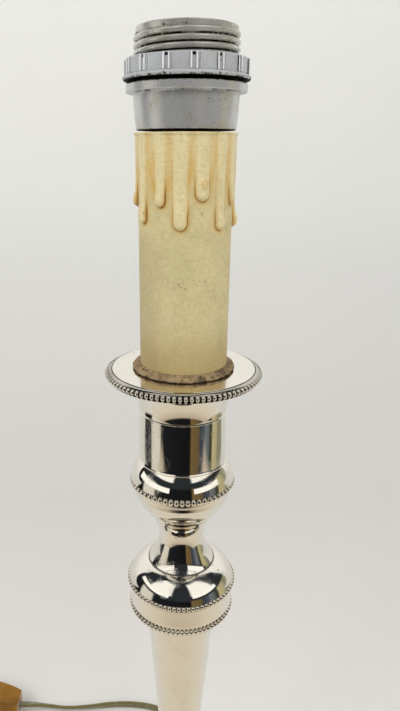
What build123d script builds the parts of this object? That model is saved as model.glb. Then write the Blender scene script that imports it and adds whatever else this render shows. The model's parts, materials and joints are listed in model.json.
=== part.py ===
from build123d import *

import math
import os

# Candlestick lamp: a silver-plated, beaded candlestick wired as a table lamp.
# Millimetres, +Z up. The origin is the middle of the foot on the surface that it stands on,
# and the front is -Y. Heights are stacked from the surface up.

os.makedirs("parts", exist_ok=True)

# ---- Driving dimensions: foot ----
foot_diameter = 140.0
foot_ground_gap = 0.8
foot_wall = 1.2
foot_rim_height = 11.0
foot_ovolo_height = 7.0
foot_fillet_height = 1.4
foot_dome_height = 21.1
foot_step_height = 1.5
foot_stem_height = 15.0
foot_collar_height = 5.0
foot_border_width = 5.4
foot_ovolo_width = 8.1
foot_dome_top_radius = 21.0
foot_stem_waist_radius = 9.2
foot_collar_radius = 11.0
foot_bead_radius = 1.75
foot_bead_count = 118
felt_thickness = 1.5
foot_plate_thickness = 1.0

# ---- Driving dimensions: column, knop, neck and capital ----
column_length = 119.0
column_bottom_radius = 7.6
column_top_radius = 16.75
drum_under_height = 4.3
drum_band_radius = 25.2
drum_groove_height = 1.4
drum_groove_depth = 0.8
drum_band_height = 10.5
drum_wall = 1.6
knop_bead_radius = 1.1
knop_lower_bead_count = 72
knop_upper_bead_count = 73
knop_edge_radius = 25.6
knop_crease_radius = 15.8
knop_shoulder_height = 9.9
neck_flare_height = 14.5
neck_radius = 10.7
lip_height = 11.4
lip_radius = 14.6
bowl_under_height = 14.0
bowl_under_radius = 22.5
bowl_line_height = 3.2
capital_bead_radius = 1.3
capital_bead_count = 55
capital_edge_radius = 24.1
bowl_shoulder_height = 9.0
capital_step = 0.3
capital_radius = 19.9
capital_height = 24.0
capital_wall = 1.3
flare_height = 18.9
flare_top_radius = 30.0

# ---- Driving dimensions: drip pan ----
pan_radius = 33.0
pan_thickness = 1.4
pan_skirt_depth = 1.9
pan_skirt_wall = 1.1
pan_bead_radius = 1.15
pan_bead_count = 95
pan_spigot_radius = 13.0
pan_spigot_depth = 8.0

# ---- Driving dimensions: candle ----
collar_radius = 22.1
collar_thickness = 2.8
collar_bore_radius = 13.5
candle_length = 93.5
candle_radius = 18.85
candle_wall = 1.5
wax_coat_radius = 19.65
wax_coat_height = 4.0
drip_width = 4.8
drip_stand_out = 1.35
# Each drip: degrees round from the front, positive to the right, and its tip below the candle's top.
drips = [
    (-102, 32.2), (-92, 26.1), (-64, 32.7), (-34.5, 27.7), (-9, 36.3), (17, 25.7), (41, 36.1),
    (65, 26.4), (88, 34.2), (112, 28.0), (135, 37.5), (158, 25.0), (182, 33.0), (206, 28.8),
    (229, 36.0),
]

# ---- Driving dimensions: lampholder ----
holder_gap = 0.8
holder_neck_height = 13.2
holder_neck_top_radius = 20.4
holder_neck_bottom_radius = 19.4
holder_flange_width = 3.25
holder_flange_height = 3.0
holder_floor = 2.0
holder_hub_radius = 8.5
holder_hub_height = 8.0
barrel_radius = 19.95
barrel_height = 19.3
barrel_bore_radius = 17.6
barrel_lip_radius = 15.2
barrel_lip_height = 1.5
barrel_spigot_radius = 18.5
barrel_spigot_height = 9.0
barrel_seat_depth = 0.3
ring_gap = 1.2
ring_height = 7.4
ring_lip_height = 1.4
ring_wall = 3.15
ring_rib_depth = 0.8
ring_lip_depth = 1.15
ring_rib_width = 3.2
ring_rib_count = 15
ring_first_rib = 4.3
insert_floor_height = 4.5
insert_wall = 3.4
screw_shell_bore_radius = 13.35
screw_shell_wall = 0.5
screw_shell_seat_radius = 10.0
screw_shell_seat_height = 4.4
tongue_width = 5.0
tongue_thickness = 0.6
tongue_root_x = -3.6
tongue_tip_x = 3.4
tongue_rise = 3.6

# ---- Driving dimensions: rod, nuts and washers ----
rod_radius = 5.0
rod_bore_radius = 4.0
rod_bottom = 21.0
nut_across_flats = 14.0
nut_height = 4.0
rod_washer_radius = 12.5
rod_washer_thickness = 1.5
loading_pocket_radius = 17.0

# ---- Driving dimensions: cord, switch and plug ----
cord_width = 5.0
cord_thickness = 2.5
core_diameter = 1.8
inner_bend_radius = 13.0
grommet_length = 9.0
grommet_wall = 0.6
grommet_flange_width = 1.1
grommet_flange_thickness = 1.2
switch_length = 62.0
switch_end_width = 15.0
switch_middle_width = 25.0
switch_end_height = 11.0
switch_middle_height = 16.5
switch_split_height = 5.5
switch_wall = 1.6
switch_x = -148.0
switch_y = 94.5
rocker_length = 16.0
rocker_width = 8.4
rocker_tilt = 8.0
rocker_rise = 5.0
rocker_pivot_height = 13.4
rocker_pin_radius = 1.2
plug_width = 35.3
plug_thickness = 13.7
plug_body_length = 26.0
plug_tail_width = 13.0
relief_length = 22.0
relief_radius = 4.2
relief_tip_radius = 3.4
pin_radius = 2.0
pin_length = 19.0
pin_root_radius = 2.6
pin_root_length = 6.0
pin_spacing = 18.6
plug_x = -133.0
plug_y = -50.0

# ---- Driving dimensions: coil of the put-away cord ----
coil_x = -181.5
coil_y = 14.0
coil_outer_radius = 33.5
coil_turns = 4
coil_gap = 0.5
# The same route this far above keeps the flat cord on edge all the way round.
guide_height = 40.0

# ---- Clearances ----
fit_clearance = 0.1
thread_clearance = 0.05
rod_hole_clearance = 0.3
running_clearance = 0.25
grommet_clearance = 0.3
ring_headroom = 0.3

# ---- Heights, from the surface up ----
foot_radius = foot_diameter / 2
foot_ovolo_bottom = foot_rim_height
foot_ovolo_top = foot_ovolo_bottom + foot_ovolo_height
foot_dome_bottom = foot_ovolo_top + foot_fillet_height
foot_dome_top = foot_dome_bottom + foot_dome_height
foot_stem_bottom = foot_dome_top + foot_step_height
foot_stem_top = foot_stem_bottom + foot_stem_height
foot_top = foot_stem_top + foot_collar_height
column_top = foot_top + column_length
lower_row_bottom = column_top + drum_under_height
lower_row_top = lower_row_bottom + 2 * knop_bead_radius
drum_band_bottom = lower_row_top + drum_groove_height
drum_band_top = drum_band_bottom + drum_band_height
upper_row_top = drum_band_top + 2 * knop_bead_radius
knop_crease = upper_row_top + knop_shoulder_height
neck_waist = knop_crease + neck_flare_height
lip_level = neck_waist + lip_height
bowl_under_top = lip_level + bowl_under_height
capital_row_bottom = bowl_under_top + bowl_line_height
capital_row_top = capital_row_bottom + 2 * capital_bead_radius
capital_bottom = capital_row_top + bowl_shoulder_height
scribed_line = capital_bottom + capital_height
capital_top = scribed_line + flare_height
pan_top = capital_top + pan_thickness
collar_top = pan_top + collar_thickness
candle_top = collar_top + candle_length
holder_bottom = candle_top + holder_gap
flange_bottom = holder_bottom + holder_neck_height
flange_top = flange_bottom + holder_flange_height
barrel_top = flange_top + barrel_height
ring_bottom = flange_top + ring_gap
ring_top = ring_bottom + ring_height
rod_top = holder_bottom + holder_floor + 2.0
loading_bottom = felt_thickness + foot_plate_thickness
rod_hole_radius = rod_radius + rod_hole_clearance
washer_top = rod_bottom + 1.0 + nut_height + rod_washer_thickness
grommet_bore_radius = cord_width / 2 + grommet_clearance
grommet_radius = grommet_bore_radius + grommet_wall
cord_exit_height = loading_bottom + 2 * fit_clearance + grommet_radius

# ---- Lampholder radii, from the threaded barrel outwards ----
holder_flange_radius = barrel_radius + holder_flange_width
barrel_seat_radius = barrel_radius - barrel_seat_depth
ring_panel_radius = barrel_radius + ring_wall
ring_rib_radius = ring_panel_radius + ring_rib_depth
ring_lip_radius = ring_panel_radius + ring_lip_depth


def bead_row(count, outer_radius, bottom, height, seat_radius):
    """A soldered row of beads: hexagons, corner outwards, whose flats meet, on a plain back."""
    bead = math.pi * outer_radius / count * 2 / math.sqrt(3) * 1.03
    with BuildPart() as row:
        with BuildSketch(Plane.XY.offset(bottom)):
            Circle(outer_radius - bead)
            with PolarLocations(outer_radius - bead, count):
                RegularPolygon(bead, 6)
            Circle(seat_radius, mode=Mode.SUBTRACT)
        extrude(amount=height)
    return row


def cord_tube(points, label):
    """A tube along straight runs that tangent arcs join, with its radii printed."""
    knots = [Vector(*point) for point in points]
    radii = []
    for before, corner, after in zip(knots, knots[1:], knots[2:]):
        half_turn = math.radians((corner - before).get_angle(after - corner)) / 2
        run = min((corner - before).length, (after - corner).length)
        radii.append(0.45 * run / math.tan(half_turn))
    with BuildPart() as tube:
        with BuildLine() as route:
            FilletPolyline(*points, radius=radii)
        start = route.line @ 0
        heading = Vector((route.line % 0).X, (route.line % 0).Y, 0)
        with BuildSketch(Plane(origin=start, x_dir=heading.cross(Vector(0, 0, 1)), z_dir=heading)):
            Rectangle(cord_thickness, cord_width)
        sweep(path=route.wire(), binormal=route.wire().moved(Location((0, 0, guide_height))))
    area = cord_width * cord_thickness
    print(label, "length", round(route.wire().length, 1), "volume share", round(
        tube.part.volume / (area * route.wire().length), 3))
    print(label, "radii", [round(radius, 1) for radius in radii])
    return tube


# ---- Foot ----
with BuildPart() as felt_pad:
    with BuildSketch():
        Circle(foot_radius - foot_wall - fit_clearance)
    extrude(amount=felt_thickness)
felt_pad.part.label = "felt_pad"
export_step(felt_pad.part, "parts/felt_pad.step")

with BuildPart() as foot_plate:
    with BuildSketch(Plane.XY.offset(felt_thickness)):
        Circle(foot_radius - foot_wall - fit_clearance)
    extrude(amount=foot_plate_thickness)
foot_plate.part.label = "foot_plate"
export_step(foot_plate.part, "parts/foot_plate.step")

ovolo_outer = foot_radius - foot_border_width
ovolo_inner = ovolo_outer - foot_ovolo_width
dome_outer = ovolo_inner - 1.0
dome_middle = foot_dome_top_radius + 0.4 * (dome_outer - foot_dome_top_radius)
stem_outer = foot_dome_top_radius - 2.5
# The hollow under the foot, which the loading fills: each step is its radius and its top.
foot_hollow = [
    (foot_radius - foot_wall, foot_rim_height - foot_wall),
    (ovolo_inner - 2.0 * foot_wall, foot_ovolo_top - foot_wall),
    (foot_dome_top_radius + 1.0, foot_dome_top - 3.2 * foot_wall),
]

with BuildPart() as foot:
    with BuildSketch(Plane.XZ):
        with BuildLine():
            Polyline(
                (0, foot_ground_gap),
                (foot_radius, foot_ground_gap),
                (foot_radius, foot_rim_height - 1.0),
                (foot_radius - 1.0, foot_rim_height),
                (ovolo_outer, foot_rim_height),
            )
            Polyline(
                (ovolo_outer, foot_ovolo_bottom),
                (ovolo_outer, foot_ovolo_bottom + 0.35 * foot_ovolo_height),
                (ovolo_outer - 0.3 * foot_ovolo_width, foot_ovolo_bottom + 0.8 * foot_ovolo_height),
                (ovolo_inner, foot_ovolo_top),
                (ovolo_inner, foot_dome_bottom),
                (dome_outer, foot_dome_bottom),
            )
            ThreePointArc(
                (dome_outer, foot_dome_bottom),
                (dome_middle, foot_dome_bottom + 0.27 * foot_dome_height),
                (foot_dome_top_radius, foot_dome_top),
            )
            Polyline(
                (foot_dome_top_radius, foot_dome_top),
                (foot_dome_top_radius, foot_stem_bottom),
                (stem_outer, foot_stem_bottom),
            )
            ThreePointArc(
                (stem_outer, foot_stem_bottom),
                (foot_stem_waist_radius + 2.2, foot_stem_bottom + 0.43 * foot_stem_height),
                (foot_stem_waist_radius, foot_stem_top),
            )
            Polyline(
                (foot_stem_waist_radius, foot_stem_top),
                (foot_collar_radius, foot_stem_top + 1.2),
                (foot_collar_radius, foot_top - 1.4),
                (column_bottom_radius + 0.8, foot_top),
                (0, foot_top),
                (0, foot_ground_gap),
            )
        make_face()
    revolve(axis=Axis.Z)
    for hollow_radius, hollow_top in foot_hollow:
        with BuildSketch(Plane.XY):
            Circle(hollow_radius)
        extrude(amount=hollow_top, mode=Mode.SUBTRACT)
    with Locations((0, 0, foot_top)):
        Hole(rod_hole_radius)
    with BuildSketch(Plane.XZ.offset(-foot_radius / 2)):
        with Locations((0, cord_exit_height)):
            Circle(grommet_radius + fit_clearance)
    extrude(amount=-foot_radius, mode=Mode.SUBTRACT)
foot.part.label = "foot"
export_step(foot.part, "parts/foot.step")

channel_half_width = grommet_radius + 2 * fit_clearance
with BuildPart() as foot_loading:
    for hollow_radius, hollow_top in foot_hollow:
        with BuildSketch(Plane.XY.offset(loading_bottom)):
            Circle(hollow_radius)
        extrude(amount=hollow_top - loading_bottom)
    with BuildSketch(Plane.XY.offset(loading_bottom)):
        Circle(loading_pocket_radius)
        with Locations((0, foot_radius / 2)):
            Rectangle(2 * channel_half_width, foot_radius)
    extrude(amount=cord_exit_height + channel_half_width - loading_bottom, mode=Mode.SUBTRACT)
    with BuildSketch(Plane.XY.offset(loading_bottom)):
        Circle(loading_pocket_radius)
    extrude(amount=washer_top - loading_bottom, mode=Mode.SUBTRACT)
    with Locations((0, 0, foot_top)):
        Hole(rod_hole_radius)
foot_loading.part.label = "foot_loading"
export_step(foot_loading.part, "parts/foot_loading.step")

foot_beading = bead_row(
    foot_bead_count,
    foot_radius - 1.6,
    foot_rim_height,
    2 * foot_bead_radius,
    foot_radius - 1.6 - 2 * foot_bead_radius,
)
foot_beading.part.label = "foot_beading"
export_step(foot_beading.part, "parts/foot_beading.step")

with BuildPart() as cord_grommet:
    with BuildSketch(Plane.XZ.offset(-foot_radius)):
        with Locations((0, cord_exit_height)):
            Circle(grommet_radius + grommet_flange_width)
    extrude(amount=-grommet_flange_thickness)
    with BuildSketch(Plane.XZ.offset(-foot_radius)):
        with Locations((0, cord_exit_height)):
            Circle(grommet_radius)
    extrude(amount=grommet_length - grommet_flange_thickness)
    with BuildSketch(Plane.XZ.offset(-foot_radius - grommet_flange_thickness)):
        with Locations((0, cord_exit_height)):
            Circle(grommet_bore_radius)
    extrude(amount=grommet_length, mode=Mode.SUBTRACT)
cord_grommet.part.label = "cord_grommet"
export_step(cord_grommet.part, "parts/cord_grommet.step")

# ---- Stem: column, knop drum, knop, neck, bowl and capital, soldered into one hollow stick ----
lower_seat = drum_band_radius - 2 * knop_bead_radius + 0.2
upper_seat = drum_band_radius - knop_bead_radius
drum_groove_radius = drum_band_radius - drum_groove_depth
bowl_seat_radius = capital_edge_radius - 1.9
capital_bore_radius = capital_radius - capital_wall
with BuildPart() as stem:
    with BuildSketch(Plane.XZ):
        with BuildLine():
            Polyline(
                (rod_hole_radius, foot_top),
                (column_bottom_radius, foot_top),
                (column_top_radius, column_top),
                (column_top_radius + 0.6, column_top),
            )
            ThreePointArc(
                (column_top_radius + 0.6, column_top),
                (lower_seat - 1.6, column_top + 0.42 * drum_under_height),
                (lower_seat, lower_row_bottom),
            )
            Polyline(
                (lower_seat, lower_row_bottom),
                (lower_seat, lower_row_top),
                (drum_groove_radius, lower_row_top),
                (drum_groove_radius, drum_band_bottom),
                (drum_band_radius, drum_band_bottom),
                (drum_band_radius, drum_band_top),
                (upper_seat, drum_band_top),
                (upper_seat, upper_row_top),
                (knop_edge_radius, upper_row_top),
            )
            ThreePointArc(
                (knop_edge_radius, upper_row_top),
                (knop_edge_radius - 3.9, upper_row_top + 0.63 * knop_shoulder_height),
                (knop_crease_radius, knop_crease),
            )
            ThreePointArc(
                (knop_crease_radius, knop_crease),
                (neck_radius + 0.9, knop_crease + 0.49 * neck_flare_height),
                (neck_radius, neck_waist),
            )
            ThreePointArc(
                (neck_radius, neck_waist),
                (neck_radius + 1.6, neck_waist + 0.57 * lip_height),
                (lip_radius, lip_level),
            )
            ThreePointArc(
                (lip_radius, lip_level),
                (bowl_under_radius - 2.6, lip_level + 0.46 * bowl_under_height),
                (bowl_under_radius, bowl_under_top),
            )
            Polyline(
                (bowl_under_radius, bowl_under_top),
                (bowl_under_radius + 0.6, bowl_under_top + 1.0),
                (bowl_under_radius + 0.6, capital_row_bottom),
                (bowl_seat_radius, capital_row_bottom),
                (bowl_seat_radius, capital_row_top),
                (capital_edge_radius, capital_row_top),
            )
            ThreePointArc(
                (capital_edge_radius, capital_row_top),
                (capital_edge_radius - 1.6, capital_row_top + 0.55 * bowl_shoulder_height),
                (capital_radius + capital_step, capital_bottom),
            )
            Polyline(
                (capital_radius + capital_step, capital_bottom),
                (capital_radius, capital_bottom + 0.9),
                (capital_radius, scribed_line),
            )
            ThreePointArc(
                (capital_radius, scribed_line),
                (capital_radius + 2.15, scribed_line + 0.33 * flare_height),
                (flare_top_radius, capital_top),
            )
            Polyline(
                (flare_top_radius, capital_top),
                (capital_bore_radius, capital_top),
                (capital_bore_radius, capital_row_top + 2.0),
                (rod_hole_radius, capital_row_top + 2.0),
                (rod_hole_radius, foot_top),
            )
        make_face()
    revolve(axis=Axis.Z)
    with BuildSketch(Plane.XY.offset(lower_row_bottom)):
        Circle(lower_seat - drum_wall)
    extrude(amount=upper_row_top - lower_row_bottom, mode=Mode.SUBTRACT)
stem.part.label = "stem"
export_step(stem.part, "parts/stem.step")

knop_lower_beading = bead_row(
    knop_lower_bead_count,
    drum_band_radius + 0.15,
    lower_row_bottom,
    2 * knop_bead_radius,
    lower_seat,
)
knop_lower_beading.part.label = "knop_lower_beading"
export_step(knop_lower_beading.part, "parts/knop_lower_beading.step")

knop_upper_beading = bead_row(
    knop_upper_bead_count,
    drum_band_radius + 1.0,
    drum_band_top,
    2 * knop_bead_radius,
    upper_seat,
)
knop_upper_beading.part.label = "knop_upper_beading"
export_step(knop_upper_beading.part, "parts/knop_upper_beading.step")

capital_beading = bead_row(
    capital_bead_count,
    capital_edge_radius + 0.3,
    capital_row_bottom,
    2 * capital_bead_radius,
    bowl_seat_radius,
)
capital_beading.part.label = "capital_beading"
export_step(capital_beading.part, "parts/capital_beading.step")

# ---- Drip pan: flat plate, turned-down skirt that carries the beads, and a spigot ----
skirt_bottom = capital_top - pan_skirt_depth
skirt_radius = pan_radius - 0.4
with BuildPart() as drip_pan:
    with BuildSketch(Plane.XZ):
        with BuildLine():
            Polyline(
                (rod_hole_radius, pan_top),
                (pan_radius, pan_top),
                (pan_radius, capital_top + 0.4),
                (skirt_radius, capital_top + 0.4),
                (skirt_radius, skirt_bottom),
                (skirt_radius - pan_skirt_wall, skirt_bottom),
                (skirt_radius - pan_skirt_wall, capital_top),
                (pan_spigot_radius, capital_top),
                (pan_spigot_radius, capital_top - pan_spigot_depth),
                (pan_spigot_radius - 1.2, capital_top - pan_spigot_depth),
                (pan_spigot_radius - 1.2, capital_top),
                (rod_hole_radius, capital_top),
                close=True,
            )
        make_face()
    revolve(axis=Axis.Z)
drip_pan.part.label = "drip_pan"
export_step(drip_pan.part, "parts/drip_pan.step")

pan_beading = bead_row(
    pan_bead_count,
    pan_radius + 1.75,
    capital_top + 0.4 - 2 * pan_bead_radius,
    2 * pan_bead_radius,
    skirt_radius,
)
pan_beading.part.label = "pan_beading"
export_step(pan_beading.part, "parts/pan_beading.step")

# ---- Candle: card washer and the wax-coated sleeve ----
with BuildPart() as candle_washer:
    with BuildSketch(Plane.XY.offset(pan_top)):
        Circle(collar_radius)
        Circle(collar_bore_radius, mode=Mode.SUBTRACT)
    extrude(amount=collar_thickness)
candle_washer.part.label = "candle_washer"
export_step(candle_washer.part, "parts/candle_washer.step")

drip_radius = drip_width / 2
drip_axis_radius = candle_radius + drip_stand_out - drip_radius
with BuildPart() as candle_sleeve:
    with BuildSketch(Plane.XY.offset(collar_top)):
        Circle(candle_radius)
    extrude(amount=candle_length)
    with BuildSketch(Plane.XY.offset(candle_top - wax_coat_height)):
        Circle(wax_coat_radius)
    extrude(amount=wax_coat_height)
    for azimuth, drop in drips:
        turn = math.radians(azimuth)
        drip_x = drip_axis_radius * math.sin(turn)
        drip_y = -drip_axis_radius * math.cos(turn)
        drip_bottom = candle_top - drop + drip_radius
        with BuildSketch(Plane.XY.offset(drip_bottom)):
            with Locations(Location((drip_x, drip_y), azimuth)):
                RegularPolygon(drip_radius, 8, rotation=22.5)
        extrude(amount=candle_top - 1.0 - drip_bottom)
        with BuildSketch(Plane.XY.offset(drip_bottom)):
            with Locations(Location((drip_x, drip_y), azimuth)):
                RegularPolygon(drip_radius, 8, rotation=22.5)
        extrude(amount=-drip_radius, taper=30)
    with BuildSketch(Plane.XY.offset(collar_top)):
        Circle(candle_radius - candle_wall)
    extrude(amount=candle_length, mode=Mode.SUBTRACT)
candle_sleeve.part.label = "candle_sleeve"
export_step(candle_sleeve.part, "parts/candle_sleeve.step")

# ---- Lampholder: cap, threaded shell, shade ring, porcelain, screw shell and contacts ----
cap_bore_radius = barrel_spigot_radius + fit_clearance
cap_floor_top = holder_bottom + holder_floor
with BuildPart() as holder_cap:
    with BuildSketch(Plane.XZ):
        with BuildLine():
            Polyline(
                (rod_radius + thread_clearance, holder_bottom - holder_hub_height),
                (holder_hub_radius, holder_bottom - holder_hub_height),
                (holder_hub_radius, holder_bottom),
                (holder_neck_bottom_radius, holder_bottom),
                (holder_neck_top_radius, flange_bottom),
                (holder_flange_radius, flange_bottom),
                (holder_flange_radius, flange_top),
                (cap_bore_radius, flange_top),
                (cap_bore_radius, cap_floor_top),
                (rod_radius + thread_clearance, cap_floor_top),
                close=True,
            )
        make_face()
    revolve(axis=Axis.Z)
holder_cap.part.label = "holder_cap"
export_step(holder_cap.part, "parts/holder_cap.step")

with BuildPart() as holder_shell:
    with BuildSketch(Plane.XZ):
        with BuildLine():
            Polyline(
                (barrel_bore_radius, flange_top - barrel_spigot_height),
                (barrel_spigot_radius, flange_top - barrel_spigot_height),
                (barrel_spigot_radius, flange_top),
                (barrel_seat_radius, flange_top),
                (barrel_seat_radius, ring_top + ring_headroom),
                (barrel_radius, ring_top + ring_headroom),
                (barrel_radius, barrel_top - 1.0),
                (barrel_radius - 1.0, barrel_top),
                (barrel_lip_radius, barrel_top),
                (barrel_lip_radius, barrel_top - barrel_lip_height),
                (barrel_bore_radius, barrel_top - barrel_lip_height),
                close=True,
            )
        make_face()
    revolve(axis=Axis.Z)
holder_shell.part.label = "holder_shell"
export_step(holder_shell.part, "parts/holder_shell.step")

with BuildPart() as shade_ring:
    with BuildSketch(Plane.XY.offset(ring_bottom)):
        Circle(ring_lip_radius)
    extrude(amount=ring_lip_height)
    with BuildSketch(Plane.XY.offset(ring_bottom + ring_lip_height)):
        Circle(ring_panel_radius)
        with PolarLocations(ring_rib_radius - 1.0, ring_rib_count, start_angle=ring_first_rib - 90):
            Rectangle(2.0, ring_rib_width)
    extrude(amount=ring_height - ring_lip_height)
    with BuildSketch(Plane.XY.offset(ring_top - 1.0)):
        Circle(ring_rib_radius)
    extrude(amount=1.0)
    with BuildSketch(Plane.XY.offset(ring_bottom)):
        Circle(barrel_seat_radius + fit_clearance)
    extrude(amount=ring_height, mode=Mode.SUBTRACT)
shade_ring.part.label = "shade_ring"
export_step(shade_ring.part, "parts/shade_ring.step")

insert_bottom = flange_top - barrel_spigot_height + 1.5
insert_top = barrel_top - barrel_lip_height - fit_clearance
insert_floor_top = insert_bottom + insert_floor_height
screw_shell_seat = insert_floor_top + screw_shell_seat_height
insert_radius = barrel_bore_radius - fit_clearance
insert_bore_radius = insert_radius - insert_wall
block_x = tongue_root_x - 0.2 - tongue_width / 2
terminal_x = 8.0
terminal_screw_radius = 1.5
with BuildPart() as holder_insert:
    with BuildSketch(Plane.XY.offset(insert_bottom)):
        Circle(insert_radius)
    extrude(amount=insert_top - insert_bottom)
    with BuildSketch(Plane.XY.offset(screw_shell_seat)):
        Circle(insert_bore_radius)
    extrude(amount=insert_top - screw_shell_seat, mode=Mode.SUBTRACT)
    with BuildSketch(Plane.XY.offset(insert_floor_top)):
        Circle(screw_shell_seat_radius)
    extrude(amount=screw_shell_seat_height, mode=Mode.SUBTRACT)
    with BuildSketch(Plane.XY.offset(insert_bottom)):
        with Locations((-terminal_x, 0), (terminal_x, 0)):
            Circle(terminal_screw_radius + fit_clearance)
    extrude(amount=2.6, mode=Mode.SUBTRACT)
holder_insert.part.label = "holder_insert"
export_step(holder_insert.part, "parts/holder_insert.step")

screw_shell_radius = screw_shell_bore_radius + screw_shell_wall
with BuildPart() as screw_shell:
    with BuildSketch(Plane.XZ):
        with BuildLine():
            Polyline(
                (screw_shell_seat_radius, screw_shell_seat),
                (screw_shell_radius, screw_shell_seat),
                (screw_shell_radius, insert_top - 1.0),
                (screw_shell_bore_radius, insert_top - 1.0),
                (screw_shell_bore_radius, screw_shell_seat + screw_shell_wall),
                (screw_shell_seat_radius, screw_shell_seat + screw_shell_wall),
                close=True,
            )
        make_face()
    revolve(axis=Axis.Z)
screw_shell.part.label = "screw_shell"
export_step(screw_shell.part, "parts/screw_shell.step")

with BuildPart() as contact_block:
    with BuildSketch(Plane.XY.offset(insert_floor_top)):
        with Locations((block_x, 0)):
            Rectangle(tongue_width, tongue_width)
    extrude(amount=1.2)
contact_block.part.label = "contact_block"
export_step(contact_block.part, "parts/contact_block.step")

tongue_root_height = insert_floor_top + 0.6
with BuildPart() as contact_tongue:
    with BuildSketch(Plane.XZ):
        with BuildLine():
            Polyline(
                (tongue_root_x, tongue_root_height),
                (tongue_root_x + 1.0, tongue_root_height),
                (tongue_tip_x - 2.2, tongue_root_height + tongue_rise - tongue_thickness),
                (tongue_tip_x, tongue_root_height + tongue_rise - tongue_thickness),
                (tongue_tip_x, tongue_root_height + tongue_rise),
                (tongue_tip_x - 2.6, tongue_root_height + tongue_rise),
                (tongue_root_x + 0.7, tongue_root_height + tongue_thickness),
                (tongue_root_x, tongue_root_height + tongue_thickness),
                close=True,
            )
        make_face()
    extrude(amount=tongue_width / 2, both=True)
contact_tongue.part.label = "contact_tongue"
export_step(contact_tongue.part, "parts/contact_tongue.step")

core_level = rod_top + 3.0
with BuildPart() as terminal_screws:
    with BuildSketch(Plane.XY.offset(core_level - core_diameter / 2 - 2.0)):
        with Locations((-terminal_x, 0), (terminal_x, 0)):
            RegularPolygon(2.8, 8)
    extrude(amount=2.0)
    with BuildSketch(Plane.XY.offset(core_level - core_diameter / 2)):
        with Locations((-terminal_x, 0), (terminal_x, 0)):
            Circle(terminal_screw_radius)
    extrude(amount=insert_bottom + 2.5 - core_level + core_diameter / 2)
terminal_screws.part.label = "terminal_screws"
export_step(terminal_screws.part, "parts/terminal_screws.step")

# ---- Threaded rod with its nuts and washers ----
with BuildPart() as threaded_rod:
    with BuildSketch(Plane.XY.offset(rod_bottom)):
        Circle(rod_radius)
        Circle(rod_bore_radius, mode=Mode.SUBTRACT)
    extrude(amount=rod_top - rod_bottom)
threaded_rod.part.label = "threaded_rod"
export_step(threaded_rod.part, "parts/threaded_rod.step")

nut_bottoms = [
    rod_bottom + 1.0,
    pan_top + rod_washer_thickness,
    holder_bottom - holder_hub_height - nut_height,
]
with BuildPart() as rod_nuts:
    for nut_bottom in nut_bottoms:
        with BuildSketch(Plane.XY.offset(nut_bottom)):
            RegularPolygon(nut_across_flats / 2, 6, major_radius=False)
            Circle(rod_radius + thread_clearance, mode=Mode.SUBTRACT)
        extrude(amount=nut_height)
rod_nuts.part.label = "rod_nuts"
export_step(rod_nuts.part, "parts/rod_nuts.step")

with BuildPart() as rod_washers:
    for washer_bottom in (washer_top - rod_washer_thickness, pan_top):
        with BuildSketch(Plane.XY.offset(washer_bottom)):
            Circle(rod_washer_radius)
            Circle(rod_radius + rod_hole_clearance, mode=Mode.SUBTRACT)
        extrude(amount=rod_washer_thickness)
rod_washers.part.label = "rod_washers"
export_step(rod_washers.part, "parts/rod_washers.step")

# ---- Flex inside the foot and the rod, and its two cores ----
cord_join_y = foot_radius + grommet_flange_thickness - grommet_length + 2.0
with BuildPart() as inner_flex:
    with BuildLine() as inner_route:
        FilletPolyline(
            (0, cord_join_y, cord_exit_height),
            (0, 0, cord_exit_height),
            (0, 0, rod_top),
            radius=inner_bend_radius,
        )
    with BuildSketch(Plane(origin=(0, cord_join_y, cord_exit_height), x_dir=(1, 0, 0), z_dir=(0, -1, 0))):
        Rectangle(cord_width, cord_thickness)
    sweep(path=inner_route.wire())
inner_flex.part.label = "inner_flex"
export_step(inner_flex.part, "parts/inner_flex.step")

core_start_x = cord_width / 4
core_end_x = terminal_x - terminal_screw_radius - fit_clearance
with BuildPart() as terminal_cores:
    for side in (-1, 1):
        with BuildLine() as core_route:
            FilletPolyline(
                (side * core_start_x, 0, rod_top),
                (side * core_start_x, 0, core_level),
                (side * core_end_x, 0, core_level),
                radius=core_diameter,
            )
        with BuildSketch(Plane(origin=(side * core_start_x, 0, rod_top), z_dir=(0, 0, 1))):
            RegularPolygon(core_diameter / 2, 8)
        sweep(path=core_route.wire())
terminal_cores.part.label = "terminal_cores"
export_step(terminal_cores.part, "parts/terminal_cores.step")

# ---- Free cord from the foot to the switch, on edge, resting on the surface ----
cord_level = cord_width / 2
switch_right = switch_x + switch_length / 2
switch_left = switch_x - switch_length / 2
switch_entry = 3.0
lamp_side_route = [
    (0, cord_join_y, cord_exit_height),
    (0, 78.0, cord_exit_height),
    (-4.0, 87.5, 3.4),
    (-14.0, 94.2, cord_level),
    (-29.5, 97.3, cord_level),
    (-47.0, 97.4, cord_level),
    (-64.0, 95.0, cord_level),
    (-81.0, 94.2, cord_level),
    (-96.5, 96.6, 2.7),
    (-108.0, 95.6, 4.6),
    (switch_right - switch_entry, switch_y, switch_split_height),
]
cord_to_switch = cord_tube(lamp_side_route, "cord_to_switch")
cord_to_switch.part.label = "cord_to_switch"
export_step(cord_to_switch.part, "parts/cord_to_switch.step")

# ---- Inline switch: lower and upper housing, rocker, contacts and screws ----
screw_places = [(switch_x - 21.0, switch_y + 4.6), (switch_x + 21.0, switch_y - 4.6)]
screw_radius = 1.4
screw_head_radius = 2.6
screw_head_height = 1.8
screw_boss_radius = 3.4


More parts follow.
